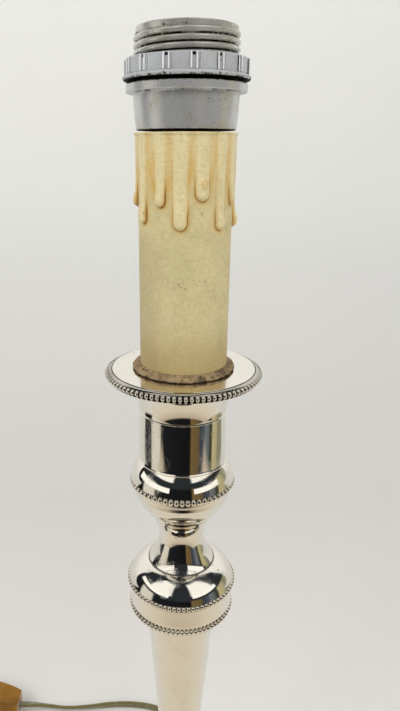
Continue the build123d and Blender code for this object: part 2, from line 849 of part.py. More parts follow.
def switch_outline(inset):
    """The switch's plan: straight ends and bowed sides, drawn in by inset."""
    end = switch_length / 2 - inset
    half_end = switch_end_width / 2 - inset
    half_middle = switch_middle_width / 2 - inset
    with BuildSketch(mode=Mode.PRIVATE) as outline:
        with BuildLine():
            Line((end, -half_end), (end, half_end))
            ThreePointArc((end, half_end), (0, half_middle), (-end, half_end))
            Line((-end, half_end), (-end, -half_end))
            ThreePointArc((-end, -half_end), (0, -half_middle), (end, -half_end))
        make_face()
    return outline.sketch


def switch_crown(inset):
    """The switch's side view: a flat bottom and a crowned top, lowered by inset."""
    end = switch_length / 2 + 1.0
    with BuildSketch(mode=Mode.PRIVATE) as crown:
        with BuildLine():
            Polyline(
                (-end, switch_end_height - inset),
                (-end, switch_split_height),
                (end, switch_split_height),
                (end, switch_end_height - inset),
            )
            ThreePointArc(
                (end, switch_end_height - inset),
                (0, switch_middle_height - inset),
                (-end, switch_end_height - inset),
            )
        make_face()
    return crown.sketch


with BuildPart() as switch_base:
    with BuildSketch(Plane.XY):
        with Locations((switch_x, switch_y)):
            add(switch_outline(0))
    extrude(amount=switch_split_height)
    with BuildSketch(Plane.XY.offset(switch_wall)):
        with Locations((switch_x, switch_y)):
            add(switch_outline(switch_wall))
    extrude(amount=switch_split_height, mode=Mode.SUBTRACT)
    with BuildSketch(Plane.XY):
        with Locations(*screw_places):
            Circle(screw_boss_radius)
    extrude(amount=switch_split_height)
    with BuildSketch(Plane.XY):
        with Locations(*screw_places):
            Circle(screw_head_radius + fit_clearance)
    extrude(amount=screw_head_height + 0.4, mode=Mode.SUBTRACT)
    with BuildSketch(Plane.XY):
        with Locations(*screw_places):
            Circle(screw_radius + fit_clearance)
    extrude(amount=switch_split_height, mode=Mode.SUBTRACT)
    with BuildSketch(Plane.YZ.offset(switch_left - 1.0)):
        with Locations((switch_y, switch_split_height)):
            Circle(cord_width / 2 + 0.5)
    extrude(amount=switch_length + 2.0, mode=Mode.SUBTRACT)
switch_base.part.label = "switch_base"
export_step(switch_base.part, "parts/switch_base.step")

opening_length = rocker_length + 1.8
opening_width = rocker_width + 2 * running_clearance
cheek_thickness = 2.0
cheek_bottom = rocker_pivot_height - 3.2
with BuildPart() as cover_hollow:
    with BuildSketch(Plane.XY.offset(switch_split_height)):
        with Locations((switch_x, switch_y)):
            add(switch_outline(switch_wall))
        with Locations(*screw_places):
            Circle(screw_boss_radius, mode=Mode.SUBTRACT)
    extrude(amount=switch_middle_height)
    with BuildSketch(Plane.XY.offset(cheek_bottom)):
        with Locations(
            (switch_x, switch_y - opening_width / 2 - cheek_thickness / 2),
            (switch_x, switch_y + opening_width / 2 + cheek_thickness / 2),
        ):
            Rectangle(8.0, cheek_thickness)
    extrude(amount=switch_middle_height, mode=Mode.SUBTRACT)
    with BuildSketch(Plane.XZ.offset(-switch_y)):
        with Locations((switch_x, 0)):
            add(switch_crown(switch_wall))
    extrude(amount=switch_middle_width, both=True, mode=Mode.INTERSECT)

with BuildPart() as switch_cover:
    with BuildSketch(Plane.XY.offset(switch_split_height)):
        with Locations((switch_x, switch_y)):
            add(switch_outline(0))
    extrude(amount=switch_middle_height)
    with BuildSketch(Plane.XZ.offset(-switch_y)):
        with Locations((switch_x, 0)):
            add(switch_crown(0))
    extrude(amount=switch_middle_width, both=True, mode=Mode.INTERSECT)
    add(cover_hollow.part, mode=Mode.SUBTRACT)
    with BuildSketch(Plane.XY.offset(switch_split_height)):
        with Locations(*screw_places):
            Circle(screw_radius)
    extrude(amount=3.5, mode=Mode.SUBTRACT)
    with BuildSketch(Plane.XZ.offset(-switch_y)):
        with Locations((switch_x, rocker_pivot_height)):
            Circle(rocker_pin_radius + fit_clearance)
    extrude(amount=opening_width / 2 + cheek_thickness, both=True, mode=Mode.SUBTRACT)
    with BuildSketch(Plane.XY.offset(switch_split_height)):
        with Locations((switch_x, switch_y)):
            Rectangle(opening_length, opening_width)
    extrude(amount=switch_middle_height, mode=Mode.SUBTRACT)
    with BuildSketch(Plane.YZ.offset(switch_left - 1.0)):
        with Locations((switch_y, switch_split_height)):
            Circle(cord_width / 2 + 0.5)
    extrude(amount=switch_wall + 4.0, mode=Mode.SUBTRACT)
    with BuildSketch(Plane.YZ.offset(switch_right + 1.0)):
        with Locations((switch_y, switch_split_height)):
            Circle(cord_width / 2 + 0.5)
    extrude(amount=-switch_wall - 4.0, mode=Mode.SUBTRACT)
switch_cover.part.label = "switch_cover"
export_step(switch_cover.part, "parts/switch_cover.step")

tilt = math.radians(rocker_tilt)
rocker_plane = Plane(
    origin=(switch_x, switch_y, rocker_pivot_height),
    x_dir=(math.cos(tilt), 0, math.sin(tilt)),
    z_dir=(0, -1, 0),
)
with BuildPart() as switch_rocker:
    with BuildSketch(rocker_plane):
        with BuildLine():
            ThreePointArc(
                (-rocker_length / 2, rocker_rise),
                (0, rocker_rise - 0.8),
                (rocker_length / 2, rocker_rise),
            )
            Polyline(
                (rocker_length / 2, rocker_rise),
                (rocker_length / 2, rocker_rise - 3.4),
                (2.6, -2.2),
                (-2.6, -2.2),
                (-rocker_length / 2, rocker_rise - 3.4),
                (-rocker_length / 2, rocker_rise),
            )
        make_face()
    extrude(amount=rocker_width / 2, both=True)
    with BuildSketch(rocker_plane):
        Circle(rocker_pin_radius)
    extrude(amount=opening_width / 2 + cheek_thickness - 0.3, both=True)
switch_rocker.part.label = "switch_rocker"
export_step(switch_rocker.part, "parts/switch_rocker.step")

with BuildPart() as switch_contacts:
    with BuildSketch(Plane.XY.offset(switch_wall)):
        with Locations((switch_x - 13.5, switch_y), (switch_x + 13.5, switch_y)):
            Rectangle(7.0, 5.0)
    extrude(amount=5.0)
    with BuildSketch(Plane.XY.offset(switch_wall)):
        with Locations((switch_x - 6.0, switch_y), (switch_x + 6.0, switch_y)):
            Rectangle(8.0, 4.0)
    extrude(amount=0.8)
    with BuildSketch(Plane.XY.offset(switch_wall)):
        with Locations((switch_x - 2.6, switch_y), (switch_x + 2.6, switch_y)):
            Rectangle(1.2, 4.0)
    extrude(amount=6.4)
switch_contacts.part.label = "switch_contacts"
export_step(switch_contacts.part, "parts/switch_contacts.step")

with BuildPart() as switch_screws:
    with BuildSketch(Plane.XY.offset(0.4)):
        with Locations(*screw_places):
            Circle(screw_head_radius)
    extrude(amount=screw_head_height)
    with BuildSketch(Plane.XY.offset(0.4 + screw_head_height)):
        with Locations(*screw_places):
            Circle(screw_radius)
    extrude(amount=switch_split_height + 3.3 - screw_head_height - 0.4)
switch_screws.part.label = "switch_screws"
export_step(switch_screws.part, "parts/switch_screws.step")

# ---- Coil of the put-away cord: in on the lower layer, up in the innermost half turn, out above ----
coil_pitch = cord_thickness + coil_gap
layer_rise = cord_width + coil_gap
upper_level = cord_level + layer_rise
coil_start_x = coil_x - coil_outer_radius


def biarc(start, start_heading, end, end_heading):
    """Two tangent arcs between two places and headings; gives the join and the heading there."""
    span = end - start
    total = start_heading + end_heading
    spread = 2 * (1 - start_heading.dot(end_heading))
    reach = -span.dot(total) + math.sqrt(span.dot(total) ** 2 + spread * span.dot(span))
    reach = reach / spread
    join = (start + end) * 0.5 + (start_heading - end_heading) * (reach / 2)
    heading = (end - end_heading * reach) - (start + start_heading * reach)
    return join, heading.normalized()


inner_radius = coil_outer_radius - coil_turns * coil_pitch
inward = [coil_outer_radius - step * coil_pitch / 2 for step in range(2 * coil_turns)]
outward = [inner_radius + step * coil_pitch / 2 for step in range(1, 2 * coil_turns)]
with BuildPart() as cord_coil:
    with BuildLine() as coil_route:
        Line((coil_start_x, coil_y + cord_width, cord_level), (coil_start_x, coil_y, cord_level))
        place = coil_start_x
        side = 1
        for radius in inward:
            ThreePointArc(
                (place, coil_y, cord_level),
                (place + side * radius, coil_y - side * radius, cord_level),
                (place + side * 2 * radius, coil_y, cord_level),
            )
            place = place + side * 2 * radius
            side = -side
        middle_level = (cord_level + upper_level) / 2
        slope = math.atan(1.5 * layer_rise / (math.pi * inner_radius))
        stations = [
            (Vector(place, coil_y, cord_level), Vector(0, -1, 0)),
            (
                Vector(place + inner_radius, coil_y - inner_radius, middle_level),
                Vector(math.cos(slope), 0, math.sin(slope)),
            ),
            (Vector(place + 2 * inner_radius, coil_y, upper_level), Vector(0, 1, 0)),
        ]
        for (start, start_heading), (end, end_heading) in zip(stations, stations[1:]):
            join, join_heading = biarc(start, start_heading, end, end_heading)
            TangentArc(start, join, tangent=start_heading)
            TangentArc(join, end, tangent=join_heading)
        place = place + 2 * inner_radius
        side = -1
        for radius in outward:
            ThreePointArc(
                (place, coil_y, upper_level),
                (place + side * radius, coil_y - side * radius, upper_level),
                (place + side * 2 * radius, coil_y, upper_level),
            )
            place = place + side * 2 * radius
            side = -side
        Line((place, coil_y, upper_level), (place, coil_y - cord_width, upper_level))
    coil_section = Plane(
        origin=(coil_start_x, coil_y + cord_width, cord_level), x_dir=(-1, 0, 0), z_dir=(0, -1, 0)
    )
    with BuildSketch(coil_section):
        Rectangle(cord_thickness, cord_width)
    sweep(path=coil_route.wire(), binormal=coil_route.wire().moved(Location((0, 0, guide_height))))
cord_coil.part.label = "cord_coil"
export_step(cord_coil.part, "parts/cord_coil.step")
coil_end_x = place

coil_wire = coil_route.wire()
samples = 1200
coil_points = [coil_wire @ (step / samples) for step in range(samples + 1)]
skip = int(samples * 2 * inner_radius / coil_wire.length)
least_gap = min(
    max(math.hypot(a.X - b.X, a.Y - b.Y) - cord_thickness, abs(a.Z - b.Z) - cord_width)
    for i, a in enumerate(coil_points)
    for b in coil_points[i + skip :]
)
print("cord_coil length", round(coil_wire.length, 1), "least gap to itself", round(least_gap, 3))

# ---- Free cord from the switch to the coil, and from the coil to the plug ----
coil_side_route = [
    (switch_left + switch_entry, switch_y, switch_split_height),
    (-191.0, 94.2, 5.0),
    (-205.0, 88.0, 3.0),
    (-214.0, 75.5, cord_level),
    (-216.8, 59.0, cord_level),
    (-213.6, 42.0, cord_level),
    (coil_start_x, 29.5, cord_level),
    (coil_start_x, coil_y + cord_width, cord_level),
]
cord_to_coil = cord_tube(coil_side_route, "cord_to_coil")
cord_to_coil.part.label = "cord_to_coil"
export_step(cord_to_coil.part, "parts/cord_to_coil.step")

plug_level = plug_thickness / 2
relief_start = plug_x - relief_length
plug_side_route = [
    (coil_end_x, coil_y - cord_width, upper_level),
    (coil_end_x, -4.0, upper_level),
    (-213.6, -18.5, 5.4),
    (-207.0, -32.5, 3.1),
    (-195.5, -43.0, 2.6),
    (-181.5, -48.6, 4.0),
    (-168.0, plug_y, plug_level),
    (relief_start + 2.0, plug_y, plug_level),
]
cord_to_plug = cord_tube(plug_side_route, "cord_to_plug")
cord_to_plug.part.label = "cord_to_plug"
export_step(cord_to_plug.part, "parts/cord_to_plug.step")

# ---- Plug: flat two-pin body with a tapering relief, and its pins ----
plug_face = plug_x + plug_body_length
with BuildPart() as plug_body:
    with BuildSketch(Plane.XY):
        with BuildLine():
            Polyline(
                (plug_x, plug_y - plug_tail_width / 2),
                (plug_x, plug_y + plug_tail_width / 2),
                (plug_x + 3.0, plug_y + plug_tail_width / 2 + 1.5),
            )
            ThreePointArc(
                (plug_x + 3.0, plug_y + plug_tail_width / 2 + 1.5),
                (plug_x + 8.5, plug_y + plug_width / 2 - 4.4),
                (plug_face - 9.0, plug_y + plug_width / 2),
            )
            Polyline(
                (plug_face - 9.0, plug_y + plug_width / 2),
                (plug_face, plug_y + plug_width / 2),
                (plug_face, plug_y - plug_width / 2),
                (plug_face - 9.0, plug_y - plug_width / 2),
            )
            ThreePointArc(
                (plug_face - 9.0, plug_y - plug_width / 2),
                (plug_x + 8.5, plug_y - plug_width / 2 + 4.4),
                (plug_x + 3.0, plug_y - plug_tail_width / 2 - 1.5),
            )
            Line((plug_x + 3.0, plug_y - plug_tail_width / 2 - 1.5), (plug_x, plug_y - plug_tail_width / 2))
        make_face()
    extrude(amount=plug_thickness)
    with BuildSketch(Plane.YZ.offset(plug_x)):
        with Locations((plug_y, plug_level)):
            Polygon(
                (-plug_width / 2, -3.4),
                (-plug_width / 2 + 4.5, -plug_level),
                (plug_width / 2 - 4.5, -plug_level),
                (plug_width / 2, -3.4),
                (plug_width / 2, 3.4),
                (plug_width / 2 - 4.5, plug_level),
                (-plug_width / 2 + 4.5, plug_level),
                (-plug_width / 2, 3.4),
                align=None,
            )
    extrude(amount=plug_body_length, mode=Mode.INTERSECT)
    with BuildSketch(Plane.YZ.offset(relief_start)):
        with Locations((plug_y, plug_level)):
            Circle(relief_tip_radius)
    with BuildSketch(Plane.YZ.offset(plug_x)):
        with Locations((plug_y, plug_level)):
            Circle(relief_radius)
    loft()
    with BuildSketch(Plane.YZ.offset(relief_start)):
        with Locations((plug_y, plug_level)):
            Rectangle(cord_thickness + 0.4, cord_width + 0.4)
    extrude(amount=2.0, mode=Mode.SUBTRACT)
    with BuildSketch(Plane.YZ.offset(plug_face)):
        with Locations((plug_y - pin_spacing / 2, plug_level), (plug_y + pin_spacing / 2, plug_level)):
            Circle(pin_root_radius + fit_clearance)
    extrude(amount=-pin_root_length, mode=Mode.SUBTRACT)
plug_body.part.label = "plug_body"
export_step(plug_body.part, "parts/plug_body.step")

with BuildPart() as plug_pins:
    with BuildSketch(Plane.YZ.offset(plug_face - pin_root_length)):
        with Locations((plug_y - pin_spacing / 2, plug_level), (plug_y + pin_spacing / 2, plug_level)):
            Circle(pin_root_radius)
    extrude(amount=pin_root_length)
    with BuildSketch(Plane.YZ.offset(plug_face)):
        with Locations((plug_y - pin_spacing / 2, plug_level), (plug_y + pin_spacing / 2, plug_level)):
            Circle(pin_radius)
    extrude(amount=pin_length)
plug_pins.part.label = "plug_pins"
export_step(plug_pins.part, "parts/plug_pins.step")
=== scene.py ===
"""Candlestick lamp: the looks of a beaded, silver-plated candlestick wired as a table lamp.

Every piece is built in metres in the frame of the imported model. Sizes in the classes are in
millimetres, as they are on the drawing: radius from the stick's axis and height above the
surface that the lamp stands on. Azimuths are in degrees round from the front, positive to the
right.
"""

from __future__ import annotations

import json
import logging
import math
from collections.abc import Callable, Sequence
from dataclasses import dataclass, field
from enum import Enum

import bmesh
import bpy
from mathutils import Matrix, Vector, noise

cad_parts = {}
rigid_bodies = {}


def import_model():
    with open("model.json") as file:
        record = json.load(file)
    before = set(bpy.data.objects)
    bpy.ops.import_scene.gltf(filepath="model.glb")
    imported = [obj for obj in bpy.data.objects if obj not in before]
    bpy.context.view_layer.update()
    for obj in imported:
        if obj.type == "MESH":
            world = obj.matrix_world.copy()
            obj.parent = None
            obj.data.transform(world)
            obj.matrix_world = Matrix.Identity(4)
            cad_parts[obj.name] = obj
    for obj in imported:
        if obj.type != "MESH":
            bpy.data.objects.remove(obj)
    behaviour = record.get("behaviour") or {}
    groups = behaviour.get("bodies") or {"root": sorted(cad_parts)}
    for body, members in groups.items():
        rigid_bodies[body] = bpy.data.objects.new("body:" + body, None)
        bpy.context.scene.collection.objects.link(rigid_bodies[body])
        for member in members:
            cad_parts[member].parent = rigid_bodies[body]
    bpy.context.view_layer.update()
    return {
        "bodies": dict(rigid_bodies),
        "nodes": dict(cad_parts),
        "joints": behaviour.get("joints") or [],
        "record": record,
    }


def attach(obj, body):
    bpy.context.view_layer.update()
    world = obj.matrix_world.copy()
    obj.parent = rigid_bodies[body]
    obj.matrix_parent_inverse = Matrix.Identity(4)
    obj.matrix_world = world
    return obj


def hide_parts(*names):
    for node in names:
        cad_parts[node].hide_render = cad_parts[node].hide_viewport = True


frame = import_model()

LOG = logging.getLogger("candlestick_lamp")
MM = 0.001
Spot = tuple[float, float]
Spot3 = tuple[float, float, float]
Colour = tuple[float, float, float]


class Body(Enum):
    """The bodies of the lamp that a piece can ride on."""

    LAMP = "lamp"
    SHADE_RING = "shade_ring"
    ROCKER = "switch_rocker"
    TONGUE = "contact_tongue"


class Slot(Enum):
    """The finishes that the record names."""

    SILVER = "silver_plate"
    CARD = "aged_card"
    WAX = "wax"
    ENAMEL = "grey_enamel"
    PORCELAIN = "porcelain"
    BRASS = "brass"
    STEEL = "steel"
    FELT = "felt"
    BOARD = "card_plate"
    PLASTER = "plaster"
    RUBBER = "rubber"
    FLEX = "gold_flex"
    AMBER = "amber_plastic"
    ROCKER = "rocker_plastic"
    PLUG = "plug_plastic"
    NICKEL = "nickel"


# ---------------------------------------------------------------------------
# Node recipes
# ---------------------------------------------------------------------------


class Recipe:
    """Adds nodes to one node tree and links them as they are added."""

    def __init__(self, tree: bpy.types.NodeTree) -> None:
        """Start on a tree, without the nodes that it came with.

        Args:
            tree: The node tree of a material, a group or the world.
        """
        self.tree = tree
        tree.nodes.clear()

    def add(self, kind: str, inputs: dict | None = None, **settings: object) -> bpy.types.Node:
        """Add a node.

        Args:
            kind: The node's type name.
            inputs: Values or sockets by input name or number.
            settings: Properties of the node.

        Returns:
            The new node.
        """
        node = self.tree.nodes.new(kind)
        for key, value in settings.items():
            setattr(node, key, value)
        for key, value in (inputs or {}).items():
            self.feed(node.inputs[key], value)
        return node

    def feed(self, socket: bpy.types.NodeSocket, value: object) -> None:
        """Link a socket to another one, or set its value."""
        if isinstance(value, bpy.types.NodeSocket):
            self.tree.links.new(value, socket)
        else:
            socket.default_value = value

    def place(self) -> bpy.types.NodeSocket:
        """The surface point in object coordinates, in metres."""
        return self.add("ShaderNodeTexCoord").outputs["Object"]

    def stretch(self, place: bpy.types.NodeSocket, scale: Spot3) -> bpy.types.NodeSocket:
        """A point with its three coordinates scaled."""
        return self.add("ShaderNodeMapping", {"Vector": place, "Scale": scale}).outputs[0]

    def noise(
        self, place: bpy.types.NodeSocket, scale: float, detail: float = 3.0, rough: float = 0.55,
        warp: float = 0.0,
    ) -> bpy.types.NodeSocket:
        """Noise from 0 to 1.

        Args:
            place: Where it is read.
            scale: Waves for each metre.
            detail: Octaves.
            rough: How strong the finer octaves are.
            warp: Distortion.

        Returns:
            The noise's value.
        """
        inputs = {"Vector": place, "Scale": scale, "Detail": detail, "Roughness": rough, "Distortion": warp}
        return self.add("ShaderNodeTexNoise", inputs).outputs[0]

    def cells(self, place: bpy.types.NodeSocket, scale: float) -> bpy.types.NodeSocket:
        """Distance to the middle of the nearest cell."""
        return self.add("ShaderNodeTexVoronoi", {"Vector": place, "Scale": scale}).outputs[0]

    def attribute(self, name: str) -> bpy.types.NodeSocket:
        """A number that the mesh carries at each point."""
        return self.add("ShaderNodeAttribute", attribute_name=name).outputs["Fac"]

    def math(self, operation: str, a: object, b: object = 0.0) -> bpy.types.NodeSocket:
        """One sum on two numbers."""
        return self.add("ShaderNodeMath", {0: a, 1: b}, operation=operation).outputs[0]

    def fade(
        self, value: object, low: float, high: float, start: float = 0.0, end: float = 1.0
    ) -> bpy.types.NodeSocket:
        """A smooth step.

        Args:
            value: What is read.
            low: Where the step starts.
            high: Where it ends.
            start: The result below low.
            end: The result above high.

        Returns:
            The stepped value.
        """
        inputs = {"Value": value, "From Min": low, "From Max": high, "To Min": start, "To Max": end}
        return self.add("ShaderNodeMapRange", inputs, interpolation_type="SMOOTHSTEP").outputs[0]

    def blend(self, share: object, under: object, over: object, mode: str = "MIX") -> bpy.types.NodeSocket:
        """Mix two colours.

        Args:
            share: How much of the second.
            under: The first colour.
            over: The second colour.
            mode: How they mix.

        Returns:
            The mixed colour.
        """
        inputs = {0: share, 6: rgba(under), 7: rgba(over)}
        return self.add("ShaderNodeMix", inputs, data_type="RGBA", blend_type=mode).outputs[2]

    def ramp(self, value: bpy.types.NodeSocket, stops: Sequence[tuple[float, Colour]]) -> bpy.types.NodeSocket:
        """Colours along a value, each stop a place and its colour."""
        node = self.add("ShaderNodeValToRGB", {0: value})
        elements = node.color_ramp.elements
        while len(elements) < len(stops):
            elements.new(0.5)
        for element, (place, colour) in zip(elements, stops):
            element.position = place
            element.color = rgba(colour)
        return node.outputs[0]

    def bump(
        self, height: object, depth: float, strength: float = 1.0, under: bpy.types.NodeSocket | None = None
    ) -> bpy.types.NodeSocket:
        """A normal from a height.

        Args:
            height: The height, from 0 to 1.
            depth: What a height of 1 is, in metres.
            strength: How much of it is used.
            under: A normal that it is added to.

        Returns:
            The bumped normal.
        """
        inputs = {"Strength": strength, "Distance": depth, "Height": height}
        if under is not None:
            inputs["Normal"] = under
        return self.add("ShaderNodeBump", inputs).outputs[0]

    def use(self, group: bpy.types.NodeTree, **values: object) -> bpy.types.Node:
        """Place a shared group with this material's own values."""
        node = self.add("ShaderNodeGroup", node_tree=group)
        for name, value in values.items():
            self.feed(node.inputs[name], value)
        return node


def rgba(colour: object) -> object:
    """A colour of three numbers with a full alpha; anything else as it is."""
    if isinstance(colour, (tuple, list)) and len(colour) == 3:
        return (*colour, 1.0)
    return colour


class Effect:
    """An effect that several finishes share, as a node group that is built once."""

    def __init__(self, name: str, inputs: dict[str, float | None], outputs: Sequence[str]) -> None:
        """Make the group's sockets.

        Args:
            name: The group's name.
            inputs: Each input's name and value; None is a vector.
            outputs: The names of its numbers.
        """
        self.tree = bpy.data.node_groups.new(name, "ShaderNodeTree")
        for label, value in inputs.items():
            kind = "NodeSocketVector" if value is None else "NodeSocketFloat"
            socket = self.tree.interface.new_socket(name=label, in_out="INPUT", socket_type=kind)
            if value is not None:
                socket.default_value = value
        for label in outputs:
            self.tree.interface.new_socket(name=label, in_out="OUTPUT", socket_type="NodeSocketFloat")
        self.recipe = Recipe(self.tree)
        self.given = self.recipe.add("NodeGroupInput").outputs

    def give(self, **results: bpy.types.NodeSocket) -> bpy.types.NodeTree:
        """Link the results and hand over the group."""
        self.recipe.add("NodeGroupOutput", dict(results))
        return self.tree


def make_blotches() -> bpy.types.NodeTree:
    """Soft patches: dirt, tarnish and handling marks."""
    effect = Effect("blotches", {"Place": None, "Scale": 40.0, "Low": 0.45, "High": 0.65}, ["Mask"])
    r, given = effect.recipe, effect.given
    value = r.noise(given["Place"], given["Scale"], 5.0, 0.62, 0.4)
    return effect.give(Mask=r.fade(value, given["Low"], given["High"]))


def make_scratches() -> bpy.types.NodeTree:
    """Fine hairline scratches that cross each other, and the height that they cut."""
    effect = Effect("scratches", {"Place": None, "Scale": 60.0, "Amount": 0.5}, ["Mask", "Height"])
    r, given = effect.recipe, effect.given
    total = None
    for turn in ((0.3, 0.2, 1.1), (1.2, 0.9, 0.1), (0.1, 1.4, 2.0)):
        turned = r.add("ShaderNodeMapping", {"Vector": given["Place"], "Rotation": turn, "Scale": (1.0, 34.0, 3.0)})
        line = r.noise(turned.outputs[0], given["Scale"], 2.0, 0.5, 0.0)
        mask = r.fade(r.math("ABSOLUTE", r.math("SUBTRACT", line, 0.5)), 0.0, 0.012, 1.0, 0.0)
        gate = r.fade(r.noise(given["Place"], 90.0, 2.0), 0.5, 0.62)
        mask = r.math("MULTIPLY", mask, gate)
        total = mask if total is None else r.math("MAXIMUM", total, mask)
    total = r.math("MULTIPLY", total, given["Amount"])
    return effect.give(Mask=total, Height=r.math("SUBTRACT", 1.0, total))


def make_pits() -> bpy.types.NodeTree:
    """Small round pits or chips, where a wider noise lets them be."""
    effect = Effect("pits", {"Place": None, "Scale": 600.0, "Amount": 0.5}, ["Mask", "Height"])
    r, given = effect.recipe, effect.given
    pit = r.fade(r.cells(given["Place"], given["Scale"]), 0.18, 0.34, 1.0, 0.0)
    gate = r.noise(given["Place"], r.math("MULTIPLY", given["Scale"], 0.21), 3.0)
    gate = r.fade(r.math("ADD", gate, r.math("MULTIPLY", given["Amount"], 0.5)), 0.66, 0.78)
    mask = r.math("MULTIPLY", pit, gate)
    return effect.give(Mask=mask, Height=r.math("SUBTRACT", 1.0, mask))


def make_grain() -> bpy.types.NodeTree:
    """A fine even grain: cast, printed or painted surfaces."""
    effect = Effect("grain", {"Place": None, "Scale": 900.0, "Contrast": 1.0}, ["Height"])
    r, given = effect.recipe, effect.given
    value = r.noise(given["Place"], given["Scale"], 3.0, 0.7)
    value = r.math("MULTIPLY", r.math("SUBTRACT", value, 0.5), given["Contrast"])
    return effect.give(Height=r.math("ADD", value, 0.5))


@dataclass
class Effects:
    """The shared effects, each built once."""

    blotches: bpy.types.NodeTree = field(default_factory=make_blotches)
    scratches: bpy.types.NodeTree = field(default_factory=make_scratches)
    pits: bpy.types.NodeTree = field(default_factory=make_pits)
    grain: bpy.types.NodeTree = field(default_factory=make_grain)


# ---------------------------------------------------------------------------
# Finishes
# ---------------------------------------------------------------------------


@dataclass(frozen=True)
class Finish:
    """A finish: it makes one material, which each piece of it shares."""

    name: str
    slot: Slot

    def make(self, effects: Effects) -> bpy.types.Material:
        """Make the material.

        Args:
            effects: The shared effects.

        Returns:
            The finished material.
        """
        material = bpy.data.materials.new(self.name)
        material.use_nodes = True
        recipe = Recipe(material.node_tree)
        shader = recipe.add("ShaderNodeBsdfPrincipled")
        recipe.add("ShaderNodeOutputMaterial", {"Surface": shader.outputs[0]})
        self.dress(recipe, shader.inputs, effects)
        return material

    def dress(self, r: Recipe, shader: object, effects: Effects) -> None:
        """Colour the shader.

        Args:
            r: The material's recipe.
            shader: The inputs of its Principled shader.
            effects: The shared effects.
        """
        raise NotImplementedError


@dataclass(frozen=True)
class Silver(Finish):
    """Polished silver plate: a warm mirror with haze, hairlines, dark tarnish in its recesses, and painted shade where
    beads touch, under them and in creases.
    """

    tint: Colour = (0.93, 0.885, 0.80)
    haze: float = 0.10
    polish: float = 0.035

    def dress(self, r: Recipe, shader: object, effects: Effects) -> None:
        """Warm mirror metal, near black where the mesh says so: tarnish, and painted shade."""
        place = r.place()
        patina_and_painted_light = r.attribute("patina_and_painted_light")
        tarnish = r.use(effects.blotches, Place=place, Scale=38.0, Low=0.52, High=0.74).outputs[0]
        marks = r.use(effects.scratches, Place=place, Scale=55.0, Amount=0.8).outputs
        spots = r.use(effects.pits, Place=place, Scale=420.0, Amount=0.1).outputs
        warm = r.blend(r.math("MULTIPLY", tarnish, 0.35), self.tint, (0.80, 0.70, 0.55))
        warm = r.blend(r.math("MULTIPLY", spots[0], 0.6), warm, (0.35, 0.27, 0.19))
        # Near black by the mesh's number: tarnish in the hollows, and painted shade between and under the beads and in
        # creases.
        tarnish_and_shade = r.fade(r.math("ADD", patina_and_painted_light, r.math("MULTIPLY", tarnish, 0.12)), 0.22, 0.90)
        r.feed(shader["Base Color"], r.blend(tarnish_and_shade, warm, (0.030, 0.026, 0.022)))
        shader["Metallic"].default_value = 1.0
        rough = r.fade(tarnish, 0.0, 1.0, self.polish, self.polish + self.haze)
        rough = r.math("ADD", rough, r.math("MULTIPLY", marks[0], 0.12))
        r.feed(shader["Roughness"], r.math("ADD", rough, r.math("MULTIPLY", tarnish_and_shade, 0.35)))
        ripple = r.noise(place, 24.0, 1.0)
        normal = r.bump(marks[1], 0.00002, 0.35)
        r.feed(shader["Normal"], r.bump(ripple, 0.0006, 0.25, normal))


